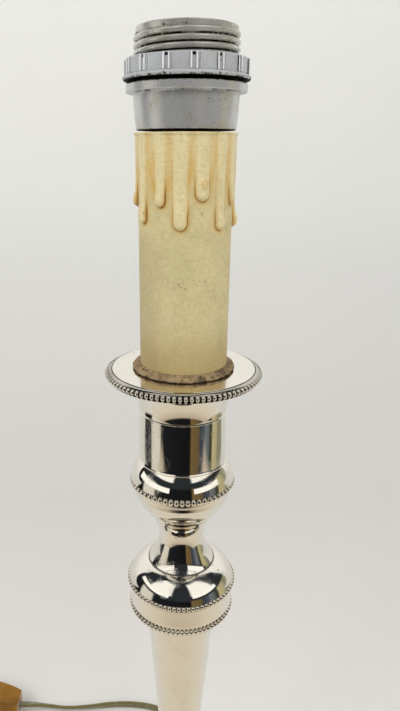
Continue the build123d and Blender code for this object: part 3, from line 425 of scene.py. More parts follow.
@dataclass(frozen=True)
class CandleWax(Finish):
    """Ivory wax over a card tube: amber in the grooves, grubby brown lower down."""

    def dress(self, r: Recipe, shader: object, effects: Effects) -> None:
        """Ivory, amber where the mesh says so, painted shade along the drips' edges and on the left side, and dirt by
        height.
        """
        place = r.place()
        amber_stain_and_shade = r.attribute("amber_stain_and_shade")
        rim = r.attribute("rim")
        wax = r.attribute("wax")
        height = r.add("ShaderNodeSeparateXYZ", {0: place}).outputs[2]
        wide = r.use(effects.blotches, Place=place, Scale=62.0, Low=0.34, High=0.72).outputs[0]
        fine = r.noise(place, 620.0, 5.0, 0.75)
        tone = r.blend(wide, (0.59, 0.50, 0.268), (0.50, 0.435, 0.222))
        tone = r.blend(wax, tone, (0.66, 0.565, 0.32))
        tone = r.blend(r.fade(fine, 0.42, 0.66, 0.0, 0.36), tone, (0.40, 0.33, 0.17))
        tone = r.blend(r.fade(fine, 0.46, 0.30, 0.0, 0.30), tone, (0.74, 0.67, 0.43))
        murk = r.use(effects.blotches, Place=place, Scale=120.0, Low=0.50, High=0.74).outputs[0]
        murk = r.math("MULTIPLY", murk, r.fade(height, 0.374, 0.352, 0.0, 0.40))
        tone = r.blend(murk, tone, (0.33, 0.26, 0.14))
        bands = r.noise(r.stretch(place, (1.0, 1.0, 9.0)), 110.0, 5.0, 0.7, 0.3)
        tone = r.blend(r.fade(bands, 0.52, 0.66, 0.0, 0.24), tone, (0.34, 0.28, 0.15))
        foot = r.fade(r.math("ADD", height, r.math("MULTIPLY", wide, 0.006)), 0.338, 0.320)
        tone = r.blend(r.math("MULTIPLY", foot, 0.60), tone, (0.41, 0.285, 0.105))
        # Painted shade: darker on the left side, low down.
        left = r.add("ShaderNodeSeparateXYZ", {0: place}).outputs[0]
        side = r.math("MULTIPLY", r.fade(left, -0.005, -0.018), r.fade(height, 0.374, 0.362))
        tone = r.blend(r.math("MULTIPLY", side, 0.36), tone, (0.30, 0.225, 0.12))
        specks = r.use(effects.pits, Place=place, Scale=620.0, Amount=0.14).outputs
        tone = r.blend(r.math("MULTIPLY", specks[0], 0.6), tone, (0.13, 0.09, 0.035))
        mottle = r.noise(place, 260.0, 4.0, 0.65)
        amber = r.math("MULTIPLY", amber_stain_and_shade, r.fade(mottle, 0.34, 0.60, 0.70, 1.15))
        tone = r.blend(amber, tone, (0.56, 0.33, 0.065))
        # Painted shade: the dark rim along each drip's edge.
        tone = r.blend(r.fade(rim, 0.15, 0.90, 0.0, 0.92), tone, (0.24, 0.105, 0.014))
        r.feed(shader["Base Color"], tone)
        r.feed(shader["Roughness"], r.fade(wax, 0.0, 1.0, 0.58, 0.30))
        shader["Subsurface Weight"].default_value = 0.12
        shader["Subsurface Radius"].default_value = (1.0, 0.6, 0.25)
        shader["Subsurface Scale"].default_value = 0.002
        shader["Specular IOR Level"].default_value = 0.42
        scrape = r.use(effects.scratches, Place=place, Scale=70.0, Amount=0.8).outputs[1]
        normal = r.bump(fine, 0.00022, 0.55)
        r.feed(shader["Normal"], r.bump(scrape, 0.00007, 0.6, normal))


@dataclass(frozen=True)
class AgedCard(Finish):
    """Pitted brown card, fibres showing."""

    def dress(self, r: Recipe, shader: object, effects: Effects) -> None:
        """Brown with pale fibres and dark pits, darker where the mesh says so: chips, stains, and a painted contact
        shadow round the foot.
        """
        place = r.place()
        wide = r.noise(place, 260.0, 4.0, 0.65)
        tone = r.blend(r.fade(wide, 0.35, 0.65), (0.165, 0.112, 0.056), (0.33, 0.235, 0.125))
        fibre = r.noise(r.stretch(place, (1.0, 1.0, 5.0)), 900.0, 4.0, 0.7)
        tone = r.blend(r.fade(fibre, 0.52, 0.70, 0.0, 0.55), tone, (0.56, 0.44, 0.27))
        pits = r.use(effects.pits, Place=place, Scale=620.0, Amount=0.45).outputs
        tone = r.blend(pits[0], tone, (0.11, 0.065, 0.035))
        # Darker by the mesh's number, broken by the fibres: chips, stains, and painted contact shadow at the foot.
        worn_and_shaded = r.math("ADD", r.attribute("patina_and_painted_light"), r.math("MULTIPLY", r.math("SUBTRACT", fibre, 0.5), 0.7))
        tone = r.blend(r.fade(worn_and_shaded, 0.30, 0.85), tone, (0.060, 0.040, 0.022))
        r.feed(shader["Base Color"], tone)
        shader["Roughness"].default_value = 0.85
        normal = r.bump(fibre, 0.00035, 0.8)
        r.feed(shader["Normal"], r.bump(pits[1], 0.0003, 0.7, normal))


@dataclass(frozen=True)
class GreyEnamel(Finish):
    """Old bluish-grey paint on sheet metal: satin, chipped, with yellowish dirt."""

    paint: Colour = (0.33, 0.345, 0.365)
    dirt: Colour = (0.30, 0.25, 0.175)
    dirt_share: float = 0.75
    gloss: float = 0.34
    sparkle: float = 0.0
    metal: float = 0.45

    def dress(self, r: Recipe, shader: object, effects: Effects) -> None:
        """Paint, dirt patches, chips down to dark metal, crumbs of dirt, rusty brown where the mesh says so, black
        painted shade in the recesses and gaps, and a pale painted highlight where the mesh's number is below zero.
        """
        place = r.place()
        patina_and_painted_light = r.attribute("patina_and_painted_light")
        dirt = r.use(effects.blotches, Place=place, Scale=78.0, Low=0.49, High=0.66).outputs[0]
        fine = r.use(effects.grain, Place=place, Scale=1500.0, Contrast=1.2).outputs[0]
        chips = r.use(effects.pits, Place=place, Scale=700.0, Amount=0.22).outputs
        tone = r.blend(r.math("MULTIPLY", dirt, self.dirt_share), self.paint, self.dirt)
        tone = r.blend(r.fade(fine, 0.45, 0.85, 0.0, 0.30 + self.sparkle), tone, (0.72, 0.74, 0.76))
        # Painted highlight: near white where the mesh's number is below zero, on the ring's ridges.
        tone = r.blend(r.fade(patina_and_painted_light, -0.1, -1.0), tone, (0.86, 0.87, 0.88))
        tone = r.blend(r.math("MULTIPLY", chips[0], 0.8), tone, (0.045, 0.035, 0.028))
        crumbs = r.noise(place, 780.0, 4.0, 0.7)
        # Crumbs of dirt, and painted shade where the mesh's number is high: black in gaps, notches and frame lines,
        # rusty brown where the number is lower.
        dirt_and_painted_shade = r.fade(r.math("ADD", crumbs, r.math("MULTIPLY", patina_and_painted_light, 0.42)), 0.66, 0.76)
        rust_and_shade_tone = r.blend(r.fade(patina_and_painted_light, 0.9, 0.3), (0.014, 0.012, 0.010), (0.085, 0.058, 0.032))
        r.feed(shader["Base Color"], r.blend(dirt_and_painted_shade, tone, rust_and_shade_tone))
        shader["Metallic"].default_value = self.metal
        rough = r.math("ADD", self.gloss, r.math("MULTIPLY", dirt, 0.14))
        r.feed(shader["Roughness"], r.math("ADD", rough, r.math("MULTIPLY", dirt_and_painted_shade, 0.25)))
        normal = r.bump(fine, 0.00005, 0.5)
        r.feed(shader["Normal"], r.bump(chips[1], 0.00010, 0.8, normal))


@dataclass(frozen=True)
class PlainMetal(Finish):
    """Brass, steel or nickel with a brushed grain and dull patches."""

    tint: Colour = (0.8, 0.6, 0.3)
    dull: Colour = (0.4, 0.28, 0.14)
    rough: float = 0.28

    def dress(self, r: Recipe, shader: object, effects: Effects) -> None:
        """Metal with dull patches and brushed lines."""
        place = r.place()
        patches = r.use(effects.blotches, Place=place, Scale=160.0, Low=0.45, High=0.7).outputs[0]
        brushed = r.noise(r.stretch(place, (1.0, 1.0, 14.0)), 420.0, 3.0, 0.6)
        r.feed(shader["Base Color"], r.blend(r.math("MULTIPLY", patches, 0.6), self.tint, self.dull))
        shader["Metallic"].default_value = 1.0
        r.feed(shader["Roughness"], r.fade(patches, 0.0, 1.0, self.rough, self.rough + 0.22))
        r.feed(shader["Normal"], r.bump(brushed, 0.00004, 0.5))


@dataclass(frozen=True)
class Porcelain(Finish):
    """White glazed porcelain with a faint bloom and dust."""

    def dress(self, r: Recipe, shader: object, effects: Effects) -> None:
        """Glaze over white, dust in patches."""
        place = r.place()
        dust = r.use(effects.blotches, Place=place, Scale=120.0, Low=0.45, High=0.7).outputs[0]
        specks = r.use(effects.pits, Place=place, Scale=500.0, Amount=0.12).outputs
        tone = r.blend(r.math("MULTIPLY", dust, 0.5), (0.80, 0.785, 0.74), (0.62, 0.57, 0.47))
        r.feed(shader["Base Color"], r.blend(specks[0], tone, (0.2, 0.16, 0.11)))
        r.feed(shader["Roughness"], r.fade(dust, 0.0, 1.0, 0.14, 0.45))
        shader["Coat Weight"].default_value = 0.5
        r.feed(shader["Normal"], r.bump(r.noise(place, 160.0, 2.0), 0.0002, 0.4))


@dataclass(frozen=True)
class ClearPlastic(Finish):
    """Moulded plastic with some depth: amber switch, rocker and plug."""

    light: Colour = (0.40, 0.20, 0.010)
    deep: Colour = (0.20, 0.078, 0.004)
    rough: float = 0.16
    clear: float = 0.12

    def dress(self, r: Recipe, shader: object, effects: Effects) -> None:
        """Two depths of colour, swirled as the moulding flowed."""
        place = r.place()
        flow = r.noise(r.stretch(place, (0.7, 1.3, 1.3)), 48.0, 1.5, 0.4, 0.8)
        tone = r.blend(r.fade(flow, 0.30, 0.70), self.deep, self.light)
        marks = r.use(effects.scratches, Place=place, Scale=90.0, Amount=0.7).outputs
        dust = r.use(effects.blotches, Place=place, Scale=150.0, Low=0.52, High=0.72).outputs[0]
        r.feed(shader["Base Color"], r.blend(r.math("MULTIPLY", dust, 0.06), tone, (0.50, 0.42, 0.28)))
        rough = r.math("ADD", self.rough, r.math("MULTIPLY", marks[0], 0.25))
        r.feed(shader["Roughness"], r.math("ADD", rough, r.math("MULTIPLY", dust, 0.12)))
        shader["Transmission Weight"].default_value = self.clear
        shader["IOR"].default_value = 1.49
        shader["Specular IOR Level"].default_value = 0.3
        r.feed(shader["Normal"], r.bump(marks[1], 0.00004, 0.5))


@dataclass(frozen=True)
class GoldFlex(Finish):
    """See-through gold flex: two clear lobes over twisted copper strands."""

    def dress(self, r: Recipe, shader: object, effects: Effects) -> None:
        """Strands that slant along the lobes, under a smooth coat."""
        place = r.place()
        strand = r.noise(r.stretch(place, (1.0, 1.0, 2.6)), 1300.0, 2.0, 0.5, 0.6)
        along = r.attribute("lobe")
        tone = r.blend(r.fade(strand, 0.36, 0.64), (0.098, 0.084, 0.026), (0.205, 0.175, 0.060))
        tone = r.blend(r.fade(along, 0.35, 0.0, 0.0, 0.75), tone, (0.055, 0.047, 0.014))
        dust = r.use(effects.blotches, Place=place, Scale=120.0, Low=0.50, High=0.75).outputs[0]
        r.feed(shader["Base Color"], r.blend(r.math("MULTIPLY", dust, 0.25), tone, (0.24, 0.23, 0.13)))
        r.feed(shader["Roughness"], r.fade(dust, 0.0, 1.0, 0.26, 0.42))
        r.feed(shader["Metallic"], r.fade(strand, 0.40, 0.65, 0.05, 0.25))
        shader["Coat Weight"].default_value = 0.5
        shader["Coat Roughness"].default_value = 0.12
        r.feed(shader["Normal"], r.bump(strand, 0.00006, 0.4))


@dataclass(frozen=True)
class Matte(Finish):
    """Felt, board, plaster or rubber: a mottled matt surface with its own nap or grain."""

    light: Colour = (0.5, 0.5, 0.5)
    dark: Colour = (0.3, 0.3, 0.3)
    scale: float = 900.0
    depth: float = 0.0003
    rough: float = 0.9
    nap: float = 0.0

    def dress(self, r: Recipe, shader: object, effects: Effects) -> None:
        """Two tones by a fine grain, deeper in patches."""
        place = r.place()
        fine = r.use(effects.grain, Place=place, Scale=self.scale, Contrast=1.4).outputs[0]
        wide = r.use(effects.blotches, Place=place, Scale=70.0, Low=0.35, High=0.7).outputs[0]
        tone = r.blend(fine, self.dark, self.light)
        r.feed(shader["Base Color"], r.blend(r.math("MULTIPLY", wide, 0.25), tone, self.dark))
        shader["Roughness"].default_value = self.rough
        shader["Sheen Weight"].default_value = self.nap
        r.feed(shader["Normal"], r.bump(fine, self.depth, 0.7))


class Palette:
    """All the finishes of the lamp, made once and handed out by slot or by name."""

    FINISHES: tuple[Finish, ...] = (
        Silver("polished_silver", Slot.SILVER),
        CandleWax("candle_wax", Slot.WAX),
        AgedCard("pitted_card", Slot.CARD),
        GreyEnamel(
            "grey_enamel", Slot.ENAMEL, paint=(0.53, 0.53, 0.53), dirt=(0.46, 0.42, 0.31),
            dirt_share=0.85, gloss=0.27, metal=0.58,
        ),
        GreyEnamel(
            "ring_enamel", Slot.ENAMEL, paint=(0.44, 0.455, 0.475), dirt=(0.37, 0.365, 0.34),
            dirt_share=0.5, gloss=0.40, sparkle=0.12, metal=0.25,
        ),
        GreyEnamel(
            "worn_thread", Slot.ENAMEL, paint=(0.60, 0.59, 0.55), dirt=(0.42, 0.39, 0.32),
            dirt_share=0.8, gloss=0.25, metal=0.66,
        ),
        Porcelain("glazed_porcelain", Slot.PORCELAIN),
        PlainMetal("aged_brass", Slot.BRASS, (0.78, 0.60, 0.30), (0.40, 0.27, 0.12), 0.26),
        PlainMetal("zinc_steel", Slot.STEEL, (0.60, 0.60, 0.60), (0.36, 0.34, 0.31), 0.34),
        PlainMetal("plug_nickel", Slot.NICKEL, (0.76, 0.74, 0.70), (0.55, 0.51, 0.44), 0.20),
        Matte("green_felt", Slot.FELT, (0.035, 0.115, 0.055), (0.012, 0.045, 0.022), 1500.0, 0.0005, 1.0, 0.5),
        Matte("base_board", Slot.BOARD, (0.36, 0.27, 0.17), (0.20, 0.14, 0.08), 500.0),
        Matte("loading_plaster", Slot.PLASTER, (0.70, 0.67, 0.60), (0.52, 0.49, 0.42), 300.0),
        Matte("black_rubber", Slot.RUBBER, (0.045, 0.044, 0.042), (0.02, 0.02, 0.02), 700.0, 0.0001, 0.55),
        GoldFlex("gold_flex", Slot.FLEX),
        ClearPlastic("amber_plastic", Slot.AMBER, (0.30, 0.135, 0.004), (0.13, 0.048, 0.002), 0.24, 0.0),
        ClearPlastic("rocker_brown", Slot.ROCKER, (0.30, 0.15, 0.03), (0.15, 0.07, 0.014), 0.22, 0.0),
        ClearPlastic("plug_gold", Slot.PLUG, (0.44, 0.31, 0.09), (0.26, 0.17, 0.04), 0.24, 0.05),
    )

    def __init__(self) -> None:
        """Make every material."""
        effects = Effects()
        self.made = {finish.name: finish.make(effects) for finish in self.FINISHES}
        self.slots = {finish.name: finish.slot for finish in self.FINISHES}
        self.first = {finish.slot.value: finish.name for finish in reversed(self.FINISHES)}

    def dress_frame(self) -> None:
        """Give each carried-over node of the frame the material of its slot."""
        for entry in frame["record"]["subparts"]:
            node = frame["nodes"][entry["node"]]
            node.data.materials.clear()
            node.data.materials.append(self.made[self.first[entry["material_slot"]]])


# ---------------------------------------------------------------------------
# Making pieces
# ---------------------------------------------------------------------------


class Turning:
    """A turned outline in radius and height, in millimetres, that a full spin makes solid."""

    def __init__(self, radius: float, height: float) -> None:
        """Start the outline at a point."""
        self.points: list[Spot] = [(radius, height)]

    def to(self, *points: Spot) -> Turning:
        """Straight on through more points."""
        self.points.extend(points)
        return self

    def bow(self, middle: Spot, end: Spot, steps: int = 12) -> Turning:
        """Carry on round an arc.

        Args:
            middle: A point on the arc.
            end: Where it ends.
            steps: How many pieces it has.

        Returns:
            This outline.
        """
        (ax, ay), (bx, by), (cx, cy) = self.points[-1], middle, end
        d = 2 * (ax * (by - cy) + bx * (cy - ay) + cx * (ay - by))
        a2, b2, c2 = ax * ax + ay * ay, bx * bx + by * by, cx * cx + cy * cy
        ux = (a2 * (by - cy) + b2 * (cy - ay) + c2 * (ay - by)) / d
        uy = (a2 * (cx - bx) + b2 * (ax - cx) + c2 * (bx - ax)) / d
        first = math.atan2(ay - uy, ax - ux)
        half = (math.atan2(by - uy, bx - ux) - first) % math.tau
        turn = (math.atan2(cy - uy, cx - ux) - first) % math.tau
        if half > turn:
            turn -= math.tau
        radius = math.hypot(ax - ux, ay - uy)
        for step in range(1, steps):
            angle = first + turn * step / steps
            self.points.append((ux + radius * math.cos(angle), uy + radius * math.sin(angle)))
        self.points.append(end)
        return self

    def spin(self, steps: int = 112, closed: bool = True) -> bmesh.types.BMesh:
        """Spin the outline once round.

        Args:
            steps: Facets round the piece.
            closed: Whether the outline's end meets its start.

        Returns:
            The mesh, its faces outwards.
        """
        mesh = bmesh.new()
        ring = [mesh.verts.new((radius * MM, 0, height * MM)) for radius, height in self.points]
        edges = [mesh.edges.new(pair) for pair in zip(ring, ring[1:])]
        if closed:
            edges.append(mesh.edges.new((ring[-1], ring[0])))
        bmesh.ops.spin(
            mesh, geom=ring + edges, cent=(0, 0, 0), axis=(0, 0, 1), dvec=(0, 0, 0),
            angle=math.tau, steps=steps, use_merge=True, use_normal_flip=False, use_duplicate=False,
        )
        bmesh.ops.remove_doubles(mesh, verts=mesh.verts, dist=2e-7)
        bmesh.ops.recalc_face_normals(mesh, faces=mesh.faces)
        return mesh


def soften(mesh: bmesh.types.BMesh, width: float, segments: int = 2, angle: float = 30.0) -> None:
    """Round the sharp edges.

    Args:
        mesh: The mesh.
        width: The rounding's width, in mm.
        segments: Faces across it.
        angle: The least angle that counts as sharp, in degrees.
    """
    sharp = [e for e in mesh.edges if len(e.link_faces) == 2 and e.calc_face_angle(0) > math.radians(angle)]
    bmesh.ops.bevel(
        mesh, geom=sharp, offset=width * MM, offset_type="OFFSET", segments=segments,
        profile=0.5, affect="EDGES", material=-1, clamp_overlap=True,
    )


def carry(mesh: bmesh.types.BMesh, name: str, value: Callable[[Vector], float]) -> None:
    """Give each point a number that a material reads.

    Args:
        mesh: The mesh.
        name: The attribute's name.
        value: The number at a point, which it gets in mm.
    """
    layer = mesh.verts.layers.float.new(name)
    for vert in mesh.verts:
        vert[layer] = value(vert.co * 1000.0)


def polar(point: Vector) -> tuple[float, float]:
    """A point's radius and its azimuth in degrees round from the front."""
    return math.hypot(point.x, point.y), math.degrees(math.atan2(point.x, -point.y))


def step(value: float, low: float, high: float) -> float:
    """A smooth step from 0 at low to 1 at high."""
    share = min(max((value - low) / (high - low), 0.0), 1.0)
    return share * share * (3 - 2 * share)


@dataclass
class Bench:
    """Where pieces are finished: it knows the palette and counts what was made."""

    palette: Palette
    made: list[str] = field(default_factory=list)

    def finish(
        self,
        mesh: bmesh.types.BMesh,
        name: str,
        finish: str,
        body: Body = Body.LAMP,
        stands_for: Sequence[str] = (),
        crease: float = 32.0,
        even: bool = True,
    ) -> bpy.types.Object:
        """Turn a mesh into a finished piece.

        Args:
            mesh: The mesh, which is freed.
            name: The piece's name.
            finish: The name of its finish.
            body: What it rides on.
            stands_for: The nodes that it replaces.
            crease: Edges sharper than this stay sharp, in degrees.
            even: Whether normals are weighted by face area.

        Returns:
            The piece.
        """
        for face in mesh.faces:
            face.smooth = True
        for edge in mesh.edges:
            if len(edge.link_faces) == 2 and edge.calc_face_angle(0) > math.radians(crease):
                edge.smooth = False
        data = bpy.data.meshes.new(name)
        mesh.to_mesh(data)
        mesh.free()
        data.materials.append(self.palette.made[finish])
        piece = bpy.data.objects.new(name, data)
        bpy.context.scene.collection.objects.link(piece)
        if even:
            weigh = piece.modifiers.new("even", "WEIGHTED_NORMAL")
            weigh.keep_sharp = True
        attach(piece, body.value)
        if stands_for:
            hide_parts(*stands_for)
        self.made.append(name)
        LOG.info("%s: %d faces, %s, rides on %s", name, len(data.polygons), finish, body.value)
        return piece

    def soft_copy(
        self, node: str, name: str, finish: str, width: float, body: Body = Body.LAMP, segments: int = 3
    ) -> bpy.types.Object:
        """Replace a node by a copy of itself with rounded edges.

        Args:
            node: The node.
            name: The piece's name.
            finish: Its finish.
            width: The rounding's width, in mm.
            body: What it rides on.
            segments: Faces across a rounded edge.

        Returns:
            The piece.
        """
        mesh = bmesh.new()
        mesh.from_mesh(frame["nodes"][node].data)
        bmesh.ops.remove_doubles(mesh, verts=mesh.verts, dist=1e-6)
        bmesh.ops.dissolve_limit(
            mesh, angle_limit=math.radians(1.0), verts=mesh.verts, edges=mesh.edges,
            use_dissolve_boundaries=False, delimit=set(),
        )
        soften(mesh, width, segments)
        bmesh.ops.triangulate(mesh, faces=[f for f in mesh.faces if len(f.verts) > 4])
        return self.finish(mesh, name, finish, body, (node,), crease=38.0)


@dataclass
class BeadRow:
    """A row of soldered silver beads, dark where they touch each other and their seat."""

    count: int
    centre: float
    height: float
    radius: float
    wide: float = 1.0
    tall: float = 1.0
    dark: float = 0.62

    def mesh(self) -> bmesh.types.BMesh:
        """One bead, repeated round the stick by a spin that copies."""
        mesh = bmesh.new()
        made = bmesh.ops.create_uvsphere(mesh, u_segments=10, v_segments=6, radius=self.radius * MM)
        bmesh.ops.rotate(mesh, verts=made["verts"], cent=(0, 0, 0), matrix=Matrix.Rotation(math.pi / 2, 3, "Y"))
        bmesh.ops.scale(mesh, vec=(1.0, self.wide, self.tall), verts=made["verts"])
        bmesh.ops.translate(mesh, verts=made["verts"], vec=(self.centre * MM, 0, self.height * MM))
        geometry = [*mesh.verts, *mesh.edges, *mesh.faces]
        bmesh.ops.spin(
            mesh, geom=geometry, cent=(0, 0, 0), axis=(0, 0, 1), dvec=(0, 0, 0),
            angle=math.tau * (self.count - 1) / self.count, steps=self.count - 1,
            use_merge=False, use_normal_flip=False, use_duplicate=True,
        )
        bmesh.ops.recalc_face_normals(mesh, faces=mesh.faces)
        carry(mesh, "patina_and_painted_light", self.patina_and_painted_light)
        return mesh

    def patina_and_painted_light(self, point: Vector) -> float:
        """How dark a bead is at its flanks and towards its seat: some tarnish, and painted shade where the beads touch
        and under them.
        """
        pitch = math.tau / self.count
        angle = math.atan2(point.y, point.x)
        aside = abs(angle - round(angle / pitch) * pitch) * self.centre / self.radius / self.wide
        depth = (self.centre - math.hypot(point.x, point.y)) / self.radius
        # Painted shade with some tarnish, at the flanks and towards the seat.
        return self.dark * max(step(aside, 0.55, 0.92), step(depth, 0.1, 0.8))


# ---------------------------------------------------------------------------
# The candlestick
# ---------------------------------------------------------------------------


@dataclass
class Foot:
    """The round foot: rim with a beaded border, ovolo, domed dish, waist and collar."""

    radius: float = 70.0
    rim: float = 11.0
    ovolo_outer: float = 64.6
    ovolo_inner: float = 56.5
    top: float = 62.0

    def dish(self) -> bmesh.types.BMesh:
        """The spun dish with its turned-up waist."""
        outline = Turning(68.8, 0.8).to((70.0, 0.8), (70.0, 9.6)).bow((69.6, 10.6), (68.6, 11.0), 5)
        outline.to((65.0, 11.0), (64.7, 10.7), (64.6, 11.4)).bow((62.6, 16.0), (57.0, 18.0), 12)
        outline.to((56.5, 18.1), (56.5, 19.3), (55.6, 19.4)).bow((34.8, 25.1), (21.0, 40.5), 34)
        outline.to((20.9, 41.4), (20.4, 42.0), (18.6, 42.0)).bow((11.4, 48.5), (9.2, 56.8), 14)
        outline.to((9.3, 57.2)).bow((11.0, 59.2), (9.6, 61.4), 8).to((8.4, 62.0), (5.4, 62.0), (5.4, 38.4))
        outline.to((22.0, 36.6), (54.0, 16.6), (54.0, 10.0), (68.8, 9.8))
        mesh = outline.spin(144)
        carry(mesh, "patina_and_painted_light", self.patina_and_painted_light)
        return mesh

    def patina_and_painted_light(self, point: Vector) -> float:
        """Dark lines where the mouldings meet."""
        radius = math.hypot(point.x, point.y)
        seams = ((64.7, 10.7), (56.5, 19.2), (20.9, 41.6), (9.3, 57.0))
        near = min(math.hypot(radius - r, point.z - z) for r, z in seams)
        return 0.75 * step(near, 0.5, 0.1)

    def build(self, bench: Bench) -> None:
        """Make the dish, its beads and the cord's bush."""
        dish = bench.finish(self.dish(), "foot_dish", "polished_silver", stands_for=("foot",), crease=40)
        dish.visible_glossy = False
        beads = BeadRow(118, 66.65, self.rim + 1.72, 1.75).mesh()
        bench.finish(beads, "foot_beads", "polished_silver", stands_for=("foot_beading",), even=False)
        bench.soft_copy("cord_grommet", "cord_bush", "black_rubber", 0.25)


@dataclass
class Stick:
    """The turned stick: column, knop drum, knop, neck, bowl and capital, each a silver shell."""

    bore: float = 5.3

    def column(self) -> bmesh.types.BMesh:
        """The column, which widens upwards, with the underside of the drum."""
        outline = Turning(self.bore, 62.0).to((7.6, 62.0), (7.8, 62.4), (17.0, 180.8), (17.4, 181.0))
        outline.bow((21.6, 182.8), (23.2, 185.3), 12).to((self.bore, 185.3))
        return outline.spin()

    def knop(self) -> bmesh.types.BMesh:
        """The drum with its plain band, the domed knop and the waisted neck."""
        outline = Turning(self.bore, 185.3).to((23.2, 185.3), (23.3, 187.5), (24.4, 187.6), (24.4, 188.7))
        outline.to((25.05, 188.9), (25.2, 189.3)).bow((25.12, 194.2), (25.2, 199.0), 8)
        outline.to((25.0, 199.4), (24.1, 199.4), (24.1, 201.6), (25.2, 201.6))
        outline.to((25.55, 201.9)).bow((22.0, 207.6), (15.9, 211.4), 18).to((15.8, 211.6))
        outline.bow((11.9, 218.4), (10.7, 226.0), 14).bow((12.2, 232.5), (14.5, 237.2), 10)
        outline.to((14.6, 237.4), (self.bore, 237.4))
        mesh = outline.spin()
        carry(mesh, "patina_and_painted_light", self.knop_patina_and_shade)
        return mesh

    def bowl(self) -> bmesh.types.BMesh:
        """The bowl under its beads and the shoulder above them."""
        outline = Turning(self.bore, 237.4).to((14.5, 237.4), (14.75, 237.8)).bow((19.6, 243.6), (22.1, 249.6), 14)
        outline.to((22.3, 249.8), (22.35, 251.4), (22.9, 251.8), (23.1, 252.4), (23.1, 254.4), (22.9, 254.6))
        outline.to((22.2, 254.6), (22.2, 257.2), (23.8, 257.2), (24.1, 257.5))
        outline.bow((22.7, 262.0), (20.2, 266.2), 14).to((20.0, 266.3), (self.bore, 266.3))
        mesh = outline.spin()
        carry(mesh, "patina_and_painted_light", self.bowl_patina_and_shade)
        return mesh

    def capital(self) -> bmesh.types.BMesh:
        """The straight capital, its scribed line and the flare under the pan."""
        outline = Turning(self.bore, 266.3).to((20.25, 266.3), (20.3, 266.8), (19.95, 267.2), (19.9, 268.0))
        outline.to((19.9, 290.3), (20.08, 290.55), (20.08, 290.8), (19.85, 291.0), (19.95, 291.2))
        outline.bow((22.55, 301.2), (29.8, 308.9), 24).to((29.8, 309.1), (18.6, 309.1), (18.6, 268.2), (self.bore, 268.2))
        mesh = outline.spin()
        carry(mesh, "patina_and_painted_light", self.capital_shade)
        return mesh

    @staticmethod
    def line(point: Vector, height: float, reach: float = 0.45, share: float = 0.7) -> float:
        """A dark line round the stick at a height."""
        return share * step(abs(point.z - height), reach, 0.1)

    def knop_patina_and_shade(self, point: Vector) -> float:
        """Dark seats under the two bead rows, part tarnish and part painted shade, a dark line at the step under the
        band, and a painted shadow line in the crease over the knop.
        """
        return max(
            self.line(point, 186.9, 1.3, 0.7), self.line(point, 200.5, 1.2, 0.7),
            self.line(point, 188.7, 0.5, 0.5), self.line(point, 211.5, 0.35, 0.75),
        )

    def bowl_patina_and_shade(self, point: Vector) -> float:
        """Dark seat of the bead row, part tarnish and part painted shade, and the fine lines under it."""
        return max(self.line(point, 255.6, 2.1, 0.9), self.line(point, 251.6, 0.4, 0.4), self.line(point, 249.7, 0.2, 0.3))

    def capital_shade(self, point: Vector) -> float:
        """A faint shadow in the scribed line, at the step below and in the corner under the pan."""
        corner = 0.9 * step(point.z, 306.3, 307.6)
        return max(self.line(point, 291.0, 0.25, 0.45), self.line(point, 266.8, 0.4, 0.35), corner)

    def build(self, bench: Bench) -> None:
        """Make the four shells and the three bead rows."""
        bench.finish(self.column(), "column", "polished_silver", stands_for=("stem",))
        bench.finish(self.knop(), "knop", "polished_silver")
        bench.finish(self.bowl(), "bowl", "polished_silver")
        bench.finish(self.capital(), "capital", "polished_silver")
        rows = (
            ("knop_lower_beads", "knop_lower_beading", BeadRow(72, 24.5, 186.3, 1.25, 0.84, 1.15, 0.30)),
            ("knop_upper_beads", "knop_upper_beading", BeadRow(73, 25.35, 200.6, 1.25, 0.86, 1.15, 0.30)),
            ("bowl_beads", "capital_beading", BeadRow(59, 23.3, 255.55, 1.3, 0.92, 1.36, 0.40)),
        )
        for name, node, row in rows:
            bench.finish(row.mesh(), name, "polished_silver", stands_for=(node,), even=False)


@dataclass
class DripPan:
    """The flat mirror pan, its dark edge and its beads."""

    radius: float = 33.0
    top: float = 310.5

    def plate(self) -> bmesh.types.BMesh:
        """The plate with its turned-down skirt and the spigot that sits in the capital."""
        outline = Turning(5.3, self.top).to((31.15, self.top), (31.3, 310.34), (31.55, 310.34), (31.75, 310.3))
        outline.to((32.4, 310.0), (32.9, 309.5), (32.9, 308.9), (32.6, 308.8), (32.6, 307.4), (33.1, 307.3))
        outline.to((33.3, 307.0), (33.2, 306.6), (31.5, 306.6))
        outline.to((31.5, 309.1), (13.0, 309.1), (13.0, 301.1), (11.8, 301.1), (11.8, 309.1), (5.3, 309.1))
        mesh = outline.spin(144)
        carry(mesh, "patina_and_painted_light", self.patina_and_painted_light)
        return mesh

    def patina_and_painted_light(self, point: Vector) -> float:
        """Black in the plate's scored edge, painted shade behind the beads, and grey on the border between."""
        radius, azimuth = polar(point)
        score = step(abs(radius - 31.42), 0.3, 0.1)
        border = 0.50 * step(radius, 31.5, 31.7)
        # Painted shade: black on the skirt behind and under the beads.
        behind = 0.95 * step(point.z, 309.4, 308.9) * step(radius, 31.8, 32.4)
        return max(score, border, behind)

    def build(self, bench: Bench) -> None:
        """Make the plate, the beads and the row of small dashes under them; the dashes are a painted highlight, put
        there for the bright reflections under the beads.
        """
        bench.finish(self.plate(), "pan_plate", "polished_silver", stands_for=("drip_pan",), crease=25)
        row = BeadRow(92, 33.45, 308.5, 1.15, 0.9, 1.0, 0.95).mesh()
        bench.finish(row, "pan_beads", "polished_silver", stands_for=("pan_beading",), even=False)
        # Painted highlight: the dashes stand in for the beads' lower reflections.
        dashes = BeadRow(92, 33.2, 306.95, 0.5, 1.35, 0.8).mesh()
        bench.finish(dashes, "pan_dashes", "polished_silver", even=False)


